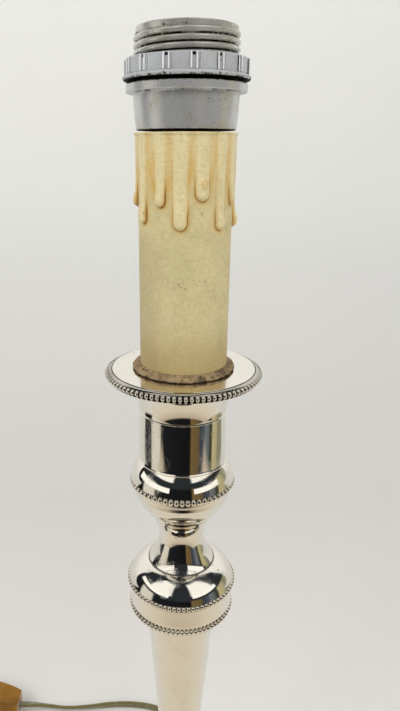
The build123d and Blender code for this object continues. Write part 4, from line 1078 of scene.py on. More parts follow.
# ---------------------------------------------------------------------------
# The candle
# ---------------------------------------------------------------------------


@dataclass
class CandleWasher:
    """The thick card washer under the candle, crumbled at its edge."""

    radius: float = 22.1
    bottom: float = 310.5
    top: float = 313.3
    bore: float = 13.5

    def mesh(self) -> bmesh.types.BMesh:
        """A spun washer whose wall and top are roughened by noise."""
        outline = Turning(self.bore, self.bottom).to((self.radius - 0.5, self.bottom), (self.radius - 0.35, 310.72))
        outline.to((22.15, 310.85), (22.25, 311.15), (22.2, 311.5), (22.0, 311.85), (21.7, 312.2), (21.3, 312.5))
        outline.to((20.9, 312.75), (20.4, 312.95), (19.9, 313.1), (19.3, 313.25), (18.9, self.top), (self.bore, self.top))
        mesh = outline.spin(300)
        patina_and_painted_light = mesh.verts.layers.float.new("patina_and_painted_light")
        for vert in mesh.verts:
            point = vert.co * 1000.0
            radius, azimuth = polar(point)
            # Painted contact shadow: dark round the washer's foot.
            vert[patina_and_painted_light] = step(point.z, 310.95, 310.7)
            if radius < 18.9 or point.z < self.bottom + 0.1:
                continue
            rough = noise.noise(point * 0.55) * 0.55 + noise.noise(point * 1.9) * 0.38
            torn = step(noise.noise(point * 0.33 + Vector((7, 3, 1))), 0.28, 0.5)
            chip = step(abs(azimuth - 19 + 3.0 * noise.noise(point * 0.9)), 7.5, 2.5)
            torn = max(torn, chip)
            fresh = max(radius + (rough - 0.5 * torn - 0.1) * step(radius, 19.6, 21.4) * 0.7, 19.0)
            vert.co.x *= fresh / radius
            vert.co.y *= fresh / radius
            vert.co.z += MM * min(0.0, (rough * 0.5 - 0.6 * torn) * step(point.z, 311.2, 312.4))
            stained = 0.30 * step(azimuth, -30, -75) + 0.55 * step(abs(azimuth - 46), 15, 6)
            vert[patina_and_painted_light] = max(vert[patina_and_painted_light], 0.62 * chip, stained, 0.45 * torn)
        return mesh

    def build(self, bench: Bench) -> None:
        """Make the washer."""
        bench.finish(self.mesh(), "card_washer", "pitted_card", stands_for=("candle_washer",), crease=75, even=False)


@dataclass(frozen=True)
class Drip:
    """One run of wax: where it hangs, how low it reaches, its half width and its bead."""

    azimuth: float
    tip: float
    half: float = 2.7
    thick: float = 1.05
    proud: float = 1.9


@dataclass
class CandleSleeve:
    """The candle: a card tube coated in wax that ran down in drips and set."""

    radius: float = 18.85
    bottom: float = 313.3
    top: float = 406.8
    bore: float = 17.35
    drips: tuple[Drip, ...] = (
        Drip(-112, 371.8, 2.3, 1.0, 2.0), Drip(-90, 378.9, 2.2, 1.1, 2.3), Drip(-60, 372.9, 2.6, 1.15, 2.0),
        Drip(-31.5, 379.5, 2.45, 1.0, 1.9), Drip(-7.6, 371.1, 3.0, 1.15, 2.1), Drip(17.5, 381.9, 2.95, 1.05, 2.2),
        Drip(42.3, 370.9, 2.5, 1.1, 2.0), Drip(66.5, 379.9, 2.4, 1.0, 1.9), Drip(90, 370.9, 2.3, 1.1, 2.4),
        Drip(113, 378.8, 2.6, 1.05, 2.0), Drip(136, 369.3, 2.8, 1.1, 2.1), Drip(158, 381.8, 2.4, 1.0, 1.9),
        Drip(182, 373.8, 2.9, 1.15, 2.1), Drip(206, 378.0, 2.5, 1.0, 2.0), Drip(228, 376.8, 2.6, 1.1, 2.0),
    )
    bubble: Spot = (18.6, 388.4)

    def reach(self, drip: Drip, azimuth: float, height: float) -> tuple[float, float, float]:
        """How far a point is from the middle of a drip.

        Args:
            drip: The drip.
            azimuth: The point's azimuth.
            height: The point's height.

        Returns:
            The distance as a share of the half width, the half width, and the offset to the right.
        """
        turn = (azimuth - drip.azimuth + 180.0) % 360.0 - 180.0
        aside = math.radians(turn) * (self.radius + 0.9)
        aside += 0.22 * noise.noise(Vector((drip.azimuth, height * 0.10, 0.0)))
        half = drip.half * (0.97 + 0.10 * noise.noise(Vector((drip.azimuth * 3.1, height * 0.13, 5.0))))
        half += 0.55 * step(height, 395.0, 405.0)
        below = max(drip.tip + drip.half * 1.08 - height, 0.0)
        return math.hypot(aside, below * 0.93) / half, half, aside

    def wax(self, azimuth: float, height: float) -> tuple[float, float, float, float]:
        """The wax at a point.

        Args:
            azimuth: The point's azimuth.
            height: The point's height.

        Returns:
            How proud it stands in mm, the amber colour, partly painted shade on each drip's right, the dark rim,
            painted shade of each drip's undercut, and whether it is wax.
        """
        proud, rim, amber_stain_and_shade, cover = 0.0, 0.0, 0.0, 0.0
        for drip in self.drips:
            turn = (azimuth - drip.azimuth + 180.0) % 360.0 - 180.0
            if abs(turn) > 18 or height < drip.tip - 4.0:
                continue
            reach, half, aside = self.reach(drip, azimuth, height)
            if reach < 1.0:
                thick = drip.thick + 0.15 * noise.noise(Vector((drip.azimuth * 1.7, height * 0.2, 9.0)))
                above = max(height - drip.tip - drip.half * 1.1, 0.0)
                swell = (drip.proud - thick) * math.exp(-((above / (1.5 * drip.half)) ** 2))
                proud = max(proud, (thick + swell) * (1.0 - reach**2.3) ** 0.62)
            cover = max(cover, step(reach, 1.05, 0.92))
            low = step(height, drip.tip + 13.0, drip.tip + 4.0)
            # Painted shade: the rim and the amber halo are heavier on each drip's right side.
            right = 1.0 if aside > 0 else 0.75
            # The dark rim along each drip's edge is painted shade of its undercut.
            line = math.exp(-(((reach - 1.02) * half / 0.30) ** 2))
            rim = max(rim, line * (0.18 + 0.82 * low) * right)
            past = (reach - 0.95) * half
            glow = math.exp(-((past / 1.1) ** 2)) if past > 0 else math.exp(-((past / 0.45) ** 2))
            amber_stain_and_shade = max(amber_stain_and_shade, glow * (0.28 + 0.62 * low) * right)
        coat = step(height, 384.0, 401.0)
        mantle = 0.60 * coat + 0.75 * step(height, 405.75, 406.1)
        edge = 386.0 + 7.0 * noise.noise(Vector((math.radians(azimuth) * 6.0, 0.0, 3.0)))
        mottle = 0.46 + 0.55 * noise.noise(Vector((math.radians(azimuth) * 11.0, height * 0.11, 2.0)))
        groove = (1.0 - cover) * step(height, edge - 9.0, edge + 2.0) * mottle
        amber_stain_and_shade = max(amber_stain_and_shade, groove * (1.0 - 0.35 * step(height, 396.0, 404.0)))
        ring = math.hypot(math.radians(azimuth - self.bubble[0]) * 20.5, (height - self.bubble[1]) * 0.8)
        if ring < 1.6:
            proud += 0.42 * math.exp(-(((ring - 0.75) / 0.4) ** 2))
            amber_stain_and_shade = max(amber_stain_and_shade, 0.8 * math.exp(-(((ring - 1.15) / 0.3) ** 2)))
        smooth = math.log(math.exp(proud * 4.0) + math.exp(mantle * 4.0) - 1.0) / 4.0
        return smooth, min(max(amber_stain_and_shade, 0.0), 1.0), min(rim, 1.0), max(cover, 0.7 * coat)

    def mesh(self) -> bmesh.types.BMesh:
        """A spun tube whose outer wall is moved out to the wax."""
        levels = [self.bottom + 2.0 * n for n in range(1, 27)]
        levels += [366.0 + 0.36 * n for n in range(56)]
        levels += [386.4 + 0.5 * n for n in range(14)] + [393.6 + 0.8 * n for n in range(15)]
        levels += [405.4, 405.75, 406.1, 406.4, 406.6]
        outline = Turning(self.bore, self.bottom).to((self.radius, self.bottom), *[(self.radius, z) for z in levels])
        outline.to((self.radius - 0.15, 406.7), (18.2, self.top), (self.bore, self.top))
        mesh = outline.spin(400)
        names = ("amber_stain_and_shade", "rim", "wax")
        layers = {name: mesh.verts.layers.float.new(name) for name in names}
        for vert in mesh.verts:
            point = vert.co * 1000.0
            radius, azimuth = polar(point)
            if radius < 18.5:
                continue
            proud, amber_stain_and_shade, rim, cover = self.wax(azimuth, point.z)
            rough = 0.05 * noise.noise(point * 0.5) + 0.02 * noise.noise(point * 2.2)
            fresh = radius + proud + rough
            vert.co.x *= fresh / radius
            vert.co.y *= fresh / radius
            for name, value in zip(names, (amber_stain_and_shade, rim, cover)):
                vert[layers[name]] = value
        return mesh

    def build(self, bench: Bench) -> None:
        """Make the sleeve."""
        bench.finish(self.mesh(), "wax_candle", "candle_wax", stands_for=("candle_sleeve",), crease=80, even=False)


# ---------------------------------------------------------------------------
# The lampholder
# ---------------------------------------------------------------------------


@dataclass
class Thread:
    """A round-bottomed thread that climbs to the right, one turn for each pitch."""

    crest: float
    depth: float
    pitch: float
    bottom: float
    top: float
    across: int = 10
    lift: float = 0.0

    def wave(self, share: float) -> float:
        """The radius at a share of the pitch: broad round crests, narrow roots."""
        return self.crest - self.depth * (0.5 - 0.5 * math.cos(math.tau * share)) ** 2.4

    def spin(self, steps: int = 96) -> bmesh.types.BMesh:
        """Screw one pitch of the thread's outline upwards and cut its ends flat.

        Args:
            steps: Facets for each turn.

        Returns:
            The open threaded wall.
        """
        mesh = bmesh.new()
        start = self.bottom - self.pitch * 1.5 + self.lift
        ring = []
        for n in range(self.across + 1):
            share = n / self.across
            ring.append(mesh.verts.new((self.wave(share) * MM, 0, (start + share * self.pitch) * MM)))
        edges = [mesh.edges.new(pair) for pair in zip(ring, ring[1:])]
        turns = math.ceil((self.top - self.bottom) / self.pitch) + 2
        bmesh.ops.spin(
            mesh, geom=ring + edges, cent=(0, 0, 0), axis=(0, 0, 1), dvec=(0, 0, self.pitch * MM / steps),
            angle=math.tau * turns, steps=steps * turns, use_merge=False, use_normal_flip=False,
            use_duplicate=False,
        )
        bmesh.ops.remove_doubles(mesh, verts=mesh.verts, dist=2e-6)
        for height, side in ((self.bottom, -1), (self.top, 1)):
            geometry = [*mesh.verts, *mesh.edges, *mesh.faces]
            bmesh.ops.bisect_plane(
                mesh, geom=geometry, dist=1e-7, plane_co=(0, 0, height * MM), plane_no=(0, 0, side),
                use_snap_center=False, clear_outer=True, clear_inner=False,
            )
        bmesh.ops.recalc_face_normals(mesh, faces=mesh.faces)
        return mesh


def face_out(mesh: bmesh.types.BMesh, outwards: bool) -> None:
    """Turn an open wall round the stick so that its faces look outwards, or inwards."""
    total = sum(face.normal.dot(Vector((*face.calc_center_median().xy, 0))) for face in mesh.faces)
    if (total > 0) != outwards:
        bmesh.ops.reverse_faces(mesh, faces=mesh.faces)


@dataclass
class ShadeRing:
    """The ring that clamps a shade: fifteen panels between narrow ribs, over a rolled lip."""

    bottom: float = 425.0
    top: float = 432.4
    bore: float = 19.75
    panel: float = 23.05
    count: int = 15
    first: float = 4.3
    rib_turn: float = 6.4

    def sector(self) -> bmesh.types.BMesh:
        """One rib and one panel of the ring's wall: two ridges, the notched slot and the panel's frame."""
        mesh = bmesh.new()
        levels = (426.9, 427.5, 428.6, 430.2, 431.1, 432.15)
        start = math.radians(self.first - self.rib_turn / 2 - 90)
        ring = [
            mesh.verts.new((self.panel * MM * math.cos(start), self.panel * MM * math.sin(start), z * MM))
            for z in levels
        ]
        edges = [mesh.edges.new(pair) for pair in zip(ring, ring[1:])]
        turns = ((self.rib_turn, 4), (360 / self.count - self.rib_turn, 8))
        last: list = ring + edges
        for angle, steps in turns:
            made = bmesh.ops.spin(
                mesh, geom=last, cent=(0, 0, 0), axis=(0, 0, 1), dvec=(0, 0, 0), angle=math.radians(angle),
                steps=steps, use_merge=False, use_normal_flip=False, use_duplicate=False,
            )
            last = made["geom_last"]
        face_out(mesh, True)
        places = {face: face.calc_center_median() * 1000.0 for face in mesh.faces}
        aside = {face: abs(polar(place)[1] - self.first) for face, place in places.items()}
        quarter, half = self.rib_turn / 4, self.rib_turn / 2
        panels = [face for face in mesh.faces if aside[face] > half]
        ridges = [face for face in mesh.faces if quarter < aside[face] < half]
        notch = [face for face in mesh.faces if aside[face] < quarter and places[face].z > 431.2]
        bmesh.ops.inset_region(mesh, faces=panels, thickness=0.50 * MM, depth=0.0, use_even_offset=True)
        bmesh.ops.inset_region(mesh, faces=panels, thickness=0.16 * MM, depth=-0.20 * MM, use_even_offset=True)
        bmesh.ops.inset_region(mesh, faces=panels, thickness=0.26 * MM, depth=0.20 * MM, use_even_offset=True)
        bmesh.ops.inset_region(mesh, faces=ridges, thickness=0.12 * MM, depth=0.60 * MM, use_even_offset=True)
        bmesh.ops.inset_region(mesh, faces=notch, thickness=0.08 * MM, depth=-0.90 * MM, use_even_offset=True)
        return mesh

    def wall(self) -> bmesh.types.BMesh:
        """All the sectors round the ring, merged."""
        mesh = self.sector()
        geometry = [*mesh.verts, *mesh.edges, *mesh.faces]
        bmesh.ops.spin(
            mesh, geom=geometry, cent=(0, 0, 0), axis=(0, 0, 1), dvec=(0, 0, 0),
            angle=math.tau * (self.count - 1) / self.count, steps=self.count - 1,
            use_merge=False, use_normal_flip=False, use_duplicate=True,
        )
        bmesh.ops.remove_doubles(mesh, verts=mesh.verts, dist=2e-6)
        carry(mesh, "patina_and_painted_light", self.wall_marks_and_painted_light)
        return mesh

    def wall_marks_and_painted_light(self, point: Vector) -> float:
        """Black painted shade in the notches, a darker slot, painted shadow lines round the panels' frames, a painted
        highlight on the ridges, and a little rusty brown along the foot.
        """
        radius, azimuth = polar(point)
        pitch = 360.0 / self.count
        aside = abs((azimuth - self.first + pitch / 2) % pitch - pitch / 2)
        # Painted shade: black in the notches.
        notch = 1.3 * step(radius, 22.9, 22.6)
        slot = 0.28 * step(aside, self.rib_turn / 4, 0.8) * step(radius, 23.3, 23.1)
        # Painted highlight on the raised ridges.
        if radius > 23.4:
            return -0.9
        # Painted shadow lines round the panels' frames.
        frame = 0.30 * step(radius, 23.0, 22.86)
        return max(notch, slot, frame, 0.4 * step(point.z, 427.4, 426.8))

    def body(self) -> bmesh.types.BMesh:
        """The turned core: rolled lip below, rounded shoulder above, and the bore."""
        outline = Turning(self.bore, 425.3).to((20.0, self.bottom), (23.4, self.bottom))
        outline.bow((24.3, 425.75), (23.7, 426.55), 12).to((23.15, 426.8), (self.panel - 0.02, 426.9))
        outline.to((self.panel - 1.1, 427.1), (self.panel - 1.1, 431.9), (self.panel - 0.02, 432.15))
        outline.to((22.8, 432.4), (20.1, self.top), (self.bore, 432.1))
        mesh = outline.spin(150)
        carry(mesh, "patina_and_painted_light", self.body_rust_and_shade)
        return mesh

    def body_rust_and_shade(self, point: Vector) -> float:
        """Rusty brown that thickens down the rolled lip, black painted shade on its underside, and darker in the bore.
        """
        patch = noise.noise(point * 0.35) * 0.35
        inside = 0.8 * step(math.hypot(point.x, point.y), 20.8, 20.2)
        # Painted shade: black on the underside, over the gap to the flange.
        return max(0.46 * step(point.z + patch, 426.2, 425.5), 1.3 * step(point.z, 425.12, 425.0), inside)

    def build(self, bench: Bench) -> None:
        """Make the ring's core and its ribbed wall, both on the turning body."""
        core = bench.finish(self.body(), "ring_core", "ring_enamel", Body.SHADE_RING, ("shade_ring",))
        LOG.info("%s carries the ribs", core.name)
        bench.finish(self.wall(), "ring_ribs", "ring_enamel", Body.SHADE_RING, crease=28, even=False)


@dataclass
class Lampholder:
    """The old lampholder: painted cap, threaded barrel, porcelain, screw shell and contacts."""

    cap_bottom: float = 407.6
    flange: float = 420.8

    def cap(self) -> bmesh.types.BMesh:
        """The tapering neck and the flange, on a hub that screws on the rod."""
        outline = Turning(5.05, 399.6).to((8.5, 399.6), (8.5, 407.6), (19.15, 407.6), (19.42, 407.9))
        outline.bow((20.0, 414.0), (20.3, 419.0), 8).to((20.35, 420.1), (20.75, 420.75), (22.9, 420.8))
        outline.to((23.2, 421.1), (23.2, 423.4), (22.9, 423.8), (18.6, 423.8), (18.6, 409.6), (5.05, 409.6))
        mesh = outline.spin()
        carry(mesh, "patina_and_painted_light", self.cap_marks_and_shade)
        return mesh

    @staticmethod
    def cap_marks_and_shade(point: Vector) -> float:
        """A dark line along the lower edge, a broken dark band under the flange, and black painted shade on the
        flange's top, in the gap under the ring.
        """
        rough = 0.5 + 0.8 * noise.noise(point * 0.8)
        radius = math.hypot(point.x, point.y)
        lower = 1.3 * step(point.z, 407.95, 407.75)
        under = 0.75 * rough * step(abs(point.z - 420.7), 0.45, 0.1) * step(radius, 23.0, 22.0)
        # Painted shade on the flange's top, where the gap under the ring is.
        above = 1.2 * step(point.z, 423.6, 423.8) * step(radius, 23.1, 22.8)
        return max(lower, under, above)

    def barrel(self) -> bmesh.types.BMesh:
        """The spigot in the cap, the bore and the flat rim over the thread."""
        outline = Turning(17.6, 414.8).to((18.5, 414.8), (18.5, 423.8), (18.75, 423.8), (18.75, 440.5))
        outline.to((19.05, 440.9), (19.1, 441.2), (19.1, 442.6)).bow((19.0, 443.0), (18.6, 443.1), 4)
        outline.to((15.5, 443.1), (15.2, 442.9), (15.2, 441.6), (17.6, 441.6))
        mesh = outline.spin()
        carry(mesh, "patina_and_painted_light", self.rim_patina)
        return mesh

    @staticmethod
    def rim_patina(point: Vector) -> float:
        """Yellow-brown wear at the rim, in patches."""
        return 0.45 * step(noise.noise(point * 0.35 + Vector((2, 0, 0))), 0.15, 0.55)

    def thread(self) -> bmesh.types.BMesh:
        """The barrel's outside thread."""
        mesh = Thread(19.95, 1.15, 2.5, 423.9, 440.9, 12, 0.3).spin()
        face_out(mesh, True)
        carry(mesh, "patina_and_painted_light", self.thread_roots_and_shade)
        return mesh

    @staticmethod
    def thread_roots_and_shade(point: Vector) -> float:
        """Darker in the roots, more so low down at the front, and black painted shade at the foot, in the gap under
        the ring.
        """
        radius, azimuth = polar(point)
        root = step(radius, 19.35, 18.95)
        heavy = step(point.z, 440.0, 435.0) * step(abs(azimuth), 80, 20)
        # Painted shade: black at the foot of the thread, under the ring.
        low = step(point.z, 425.6, 424.8)
        return max(low, root * min(1.0, 0.55 + 0.75 * heavy + 0.5 * noise.noise(point * 0.5)))

    def insert(self) -> bmesh.types.BMesh:
        """The porcelain: floor with its pocket, and the wall round the screw shell."""
        outline = Turning(0.0, 416.3).to((17.3, 416.3), (17.5, 416.5), (17.5, 441.2), (17.2, 441.5), (14.4, 441.5))
        outline.to((14.1, 441.2), (14.1, 425.2), (10.3, 425.2), (10.0, 424.9), (10.0, 420.8), (0.0, 420.8))
        return outline.spin(96)

    def shell(self) -> bmesh.types.BMesh:
        """The screw shell: thin sheet rolled into a lamp's thread, with a turned-in foot."""
        mesh = Thread(13.86, 0.50, 3.62, 426.0, 440.4).spin(80)
        face_out(mesh, True)
        bmesh.ops.solidify(mesh, geom=[*mesh.verts, *mesh.edges, *mesh.faces], thickness=0.14 * MM)
        bmesh.ops.remove_doubles(mesh, verts=mesh.verts, dist=1e-7)
        bmesh.ops.recalc_face_normals(mesh, faces=mesh.faces)
        return mesh

    def seat(self) -> bmesh.types.BMesh:
        """The shell's flat foot on the porcelain."""
        outline = Turning(10.0, 425.2).to((13.8, 425.2), (13.85, 425.4), (13.85, 426.1), (13.4, 426.1), (13.35, 425.75), (10.0, 425.7))
        return outline.spin(80)

    def build(self, bench: Bench) -> None:
        """Make the holder from its cap to its contacts."""
        bench.finish(self.cap(), "holder_neck", "grey_enamel", stands_for=("holder_cap",), crease=35)
        bench.finish(self.barrel(), "barrel_rim", "worn_thread", stands_for=("holder_shell",), crease=35)
        bench.finish(self.thread(), "barrel_thread", "worn_thread", crease=70, even=False)
        bench.finish(self.insert(), "porcelain_insert", "glazed_porcelain", stands_for=("holder_insert",), crease=30)
        bench.finish(self.shell(), "screw_thread", "aged_brass", stands_for=("screw_shell",), crease=60, even=False)
        bench.finish(self.seat(), "screw_seat", "aged_brass")
        bench.soft_copy("contact_block", "middle_contact_root", "aged_brass", 0.25)
        bench.soft_copy("contact_tongue", "middle_contact", "aged_brass", 0.12, Body.TONGUE, 2)
        bench.soft_copy("rod_nuts", "nuts", "aged_brass", 0.4)


# ---------------------------------------------------------------------------
# The cord, its switch and its plug
# ---------------------------------------------------------------------------


@dataclass
class Coil:
    """The put-away length: turns side by side in two layers, inwards below and outwards above."""

    centre_x: float = -181.5
    centre_y: float = 14.0
    outer: float = 33.5
    turns: int = 4
    pitch: float = 3.0
    lower: float = 2.5
    upper: float = 8.0
    per_half: int = 9

    def points(self) -> list[Spot3]:
        """The control points, half a turn at a time, each half turn closer in or further out."""
        inner = self.outer - self.turns * self.pitch
        inward = [self.outer - n * self.pitch / 2 for n in range(2 * self.turns)]
        outward = [inner + n * self.pitch / 2 for n in range(1, 2 * self.turns)]
        halves = [(radius, self.lower, self.lower) for radius in inward]
        halves.append((inner, self.lower, self.upper))
        halves += [(radius, self.upper, self.upper) for radius in outward]
        spots: list[Spot3] = []
        place, side = self.centre_x - self.outer, 1
        reach = 1.0 / math.cos(math.pi / self.per_half / 2)
        for radius, low, high in halves:
            middle = place + side * radius
            for n in range(self.per_half):
                angle = math.pi * (n + 0.5) / self.per_half
                share = step(n + 0.5, 0.8, self.per_half - 0.8)
                spots.append((
                    middle - side * radius * reach * math.cos(angle),
                    self.centre_y - side * radius * reach * math.sin(angle),
                    low + (high - low) * share,
                ))
            place += side * 2 * radius
            side = -side
        return spots


@dataclass
class Flex:
    """A flat twin flex on edge: two clear lobes with a web between them."""

    width: float = 5.0
    thickness: float = 2.5

    def line(self, spots: Sequence[Spot3], lean: Sequence[float]) -> bpy.types.Curve:
        """The route's smooth line.

        Args:
            spots: The control points in mm.
            lean: How far the flex leans from its edge at each point, in degrees.

        Returns:
            A curve of one open spline.
        """
        curve = bpy.data.curves.new("route", "CURVE")
        curve.dimensions = "3D"
        spline = curve.splines.new("NURBS")
        spline.points.add(len(spots) - 1)
        for point, (x, y, z), angle in zip(spline.points, spots, lean):
            point.co = (x * MM, y * MM, z * MM, 1.0)
            point.tilt = math.radians(angle)
        spline.order_u = 3
        spline.use_endpoint_u = True
        curve.resolution_u = 6
        curve.twist_mode = "Z_UP"
        return curve

    def section(self) -> bpy.types.Object:
        """The flex's outline: two round lobes, waisted between them."""
        curve = bpy.data.curves.new("section", "CURVE")
        curve.dimensions = "2D"
        spline = curve.splines.new("POLY")
        lobe = self.width / 2 - self.thickness / 2
        spots = []
        for n in range(22):
            angle = math.tau * n / 22
            across, up = math.cos(angle), math.sin(angle)
            waist = 1.0 - 0.34 * step(abs(up), 0.42, 0.0)
            tall = up * self.thickness / 2 + math.copysign(lobe, up) * step(abs(up), 0.0, 0.5)
            spots.append((across * self.thickness / 2 * waist, tall))
        spline.points.add(len(spots) - 1)
        for point, (x, y) in zip(spline.points, spots):
            point.co = (x * MM, y * MM, 0.0, 1.0)
        spline.use_cyclic_u = True
        return bpy.data.objects.new("section", curve)

    def made(self, curve: bpy.types.Curve) -> bpy.types.Mesh:
        """The mesh that Blender makes of a curve as it stands."""
        carrier = bpy.data.objects.new("carrier", curve)
        bpy.context.scene.collection.objects.link(carrier)
        bpy.context.view_layer.update()
        graph = bpy.context.evaluated_depsgraph_get()
        data = bpy.data.meshes.new_from_object(carrier.evaluated_get(graph))
        bpy.data.objects.remove(carrier)
        return data

    def lay(
        self, spots: Sequence[Spot3], lean: Sequence[float] | None = None
    ) -> tuple[bmesh.types.BMesh, list[Vector]]:
        """Lay the flex along its route.

        Args:
            spots: The route's control points in mm.
            lean: How far it leans from its edge at each point, in degrees; on edge if left out.

        Returns:
            The flex's mesh, and the points of its centreline.
        """
        curve = self.line(spots, lean or [0.0] * len(spots))
        bare = self.made(curve)
        path = [vert.co.copy() for vert in bare.vertices]
        section = self.section()
        bpy.context.scene.collection.objects.link(section)
        curve.bevel_mode = "OBJECT"
        curve.bevel_object = section
        curve.use_fill_caps = True
        swept = self.made(curve)
        bpy.data.objects.remove(section)
        mesh = bmesh.new()
        mesh.from_mesh(swept)
        bmesh.ops.remove_doubles(mesh, verts=mesh.verts, dist=1e-7)
        bmesh.ops.recalc_face_normals(mesh, faces=mesh.faces)
        layer = mesh.verts.layers.float.new("lobe")
        for vert in mesh.verts:
            near = min(path, key=lambda spot: (spot - vert.co).length_squared) if len(path) < 400 else None
            aside = abs(vert.co.z - near.z) * 1000 if near else 1.25
            vert[layer] = min(aside / 1.25, 1.0)
        LOG.info("route of %d points, %.1f mm", len(spots), 1000 * length_of(path))
        return mesh, path


def length_of(path: Sequence[Vector]) -> float:
    """The length of a line of points, in metres."""
    return sum((b - a).length for a, b in zip(path, path[1:]))


@dataclass
class CordSet:
    """The flex from the foot to the inline switch, and from there to its coil and the plug."""

    lamp_side: tuple[Spot3, ...] = (
        (0.0, 64.2, 6.1), (0.0, 78.0, 6.1), (-4.0, 87.5, 3.4), (-14.0, 94.2, 2.5), (-29.5, 97.3, 2.5),
        (-47.0, 97.4, 2.5), (-64.0, 95.0, 2.4), (-81.0, 94.2, 2.2), (-96.5, 96.6, 2.2), (-108.0, 95.6, 4.4),
        (-120.0, 94.5, 5.5),
    )
    lamp_side_lean: tuple[float, ...] = (0, 0, 0, 0, 0, -6, -22, -38, -45, -65, -90)
    coil_side: tuple[Spot3, ...] = (
        (-176.0, 94.5, 5.5), (-191.0, 94.2, 5.0), (-205.0, 88.0, 3.0), (-214.0, 75.5, 2.5), (-216.8, 59.0, 2.5),
        (-213.6, 42.0, 2.5), (-215.0, 29.5, 2.5), (-215.0, 19.0, 2.5),
    )
    plug_side: tuple[Spot3, ...] = (
        (-215.0, 9.0, 8.0), (-215.0, -4.0, 8.0), (-213.6, -18.5, 5.4), (-207.0, -32.5, 3.1), (-195.5, -43.0, 2.6),
        (-181.5, -48.6, 4.0), (-168.0, -50.0, 6.85), (-153.0, -50.0, 6.85),
    )
    coil: Coil = field(default_factory=Coil)
    flex: Flex = field(default_factory=Flex)

    def tie(self, azimuth: float) -> bmesh.types.BMesh:
        """A paper-covered tie round the coil's turns.

        Args:
            azimuth: Where it is, in degrees round the coil.

        Returns:
            The closed band.
        """
        mesh = bmesh.new()
        made = bmesh.ops.create_cube(mesh, size=1.0)
        bmesh.ops.scale(mesh, vec=(18.2 * MM, 4.0 * MM, 10.9 * MM), verts=made["verts"])
        bmesh.ops.delete(mesh, geom=[f for f in mesh.faces if abs(f.normal.y) > 0.5], context="FACES_ONLY")
        along = [e for e in mesh.edges if abs((e.verts[0].co - e.verts[1].co).y) > 1e-5]
        bmesh.ops.bevel(
            mesh, geom=along, offset=3.6 * MM, offset_type="OFFSET", segments=6, profile=0.5,
            affect="EDGES", material=-1, clamp_overlap=True,
        )
        bmesh.ops.solidify(mesh, geom=[*mesh.verts, *mesh.edges, *mesh.faces], thickness=0.35 * MM)
        bmesh.ops.recalc_face_normals(mesh, faces=mesh.faces)
        bmesh.ops.translate(mesh, verts=mesh.verts, vec=(27.8 * MM, 0, 5.46 * MM))
        turn = Matrix.Rotation(math.radians(azimuth), 3, "Z")
        bmesh.ops.rotate(mesh, verts=mesh.verts, cent=(0, 0, 0), matrix=turn)
        bmesh.ops.translate(mesh, verts=mesh.verts, vec=(self.coil.centre_x * MM, self.coil.centre_y * MM, 0))
        return mesh

    def build(self, bench: Bench) -> None:
        base = bench.soft_copy("switch_base", "switch_bottom", "amber_plastic", 0.5)
        cover = bench.soft_copy("switch_cover", "switch_top", "amber_plastic", 0.6)
        rocker = bench.soft_copy("switch_rocker", "switch_key", "rocker_brown", 0.5, Body.ROCKER)
        plug = bench.soft_copy("plug_body", "plug_shell", "plug_gold", 0.8)
        pins = bench.soft_copy("plug_pins", "plug_prongs", "plug_nickel", 0.7)
        ties = [
            bench.finish(self.tie(azimuth), f"coil_tie_{label}", "black_rubber", crease=50)
            for azimuth, label in ((28.0, "a"), (212.0, "b"))
        ]
        mesh, path = self.flex.lay(self.lamp_side, self.lamp_side_lean)
        near = bench.finish(mesh, "flex_to_switch", "gold_flex", stands_for=("cord_to_switch",), crease=60, even=False)
        mesh, path = self.flex.lay([*self.coil_side, *self.coil.points(), *self.plug_side])
        far = bench.finish(
            mesh, "flex_to_plug", "gold_flex", stands_for=("cord_to_coil", "cord_coil", "cord_to_plug"),
            crease=60, even=False,
        )
        for piece in (near, far, base, cover, rocker, plug, pins, *ties):
            piece.visible_glossy = False


# ---------------------------------------------------------------------------
# The studio
# ---------------------------------------------------------------------------


@dataclass(frozen=True)
class Softbox:
    """A soft light: where it stands, its size, its power and its colour."""

    name: str
    azimuth: float
    elevation: float
    distance: float
    width: float
    height: float
    power: float
    colour: Colour


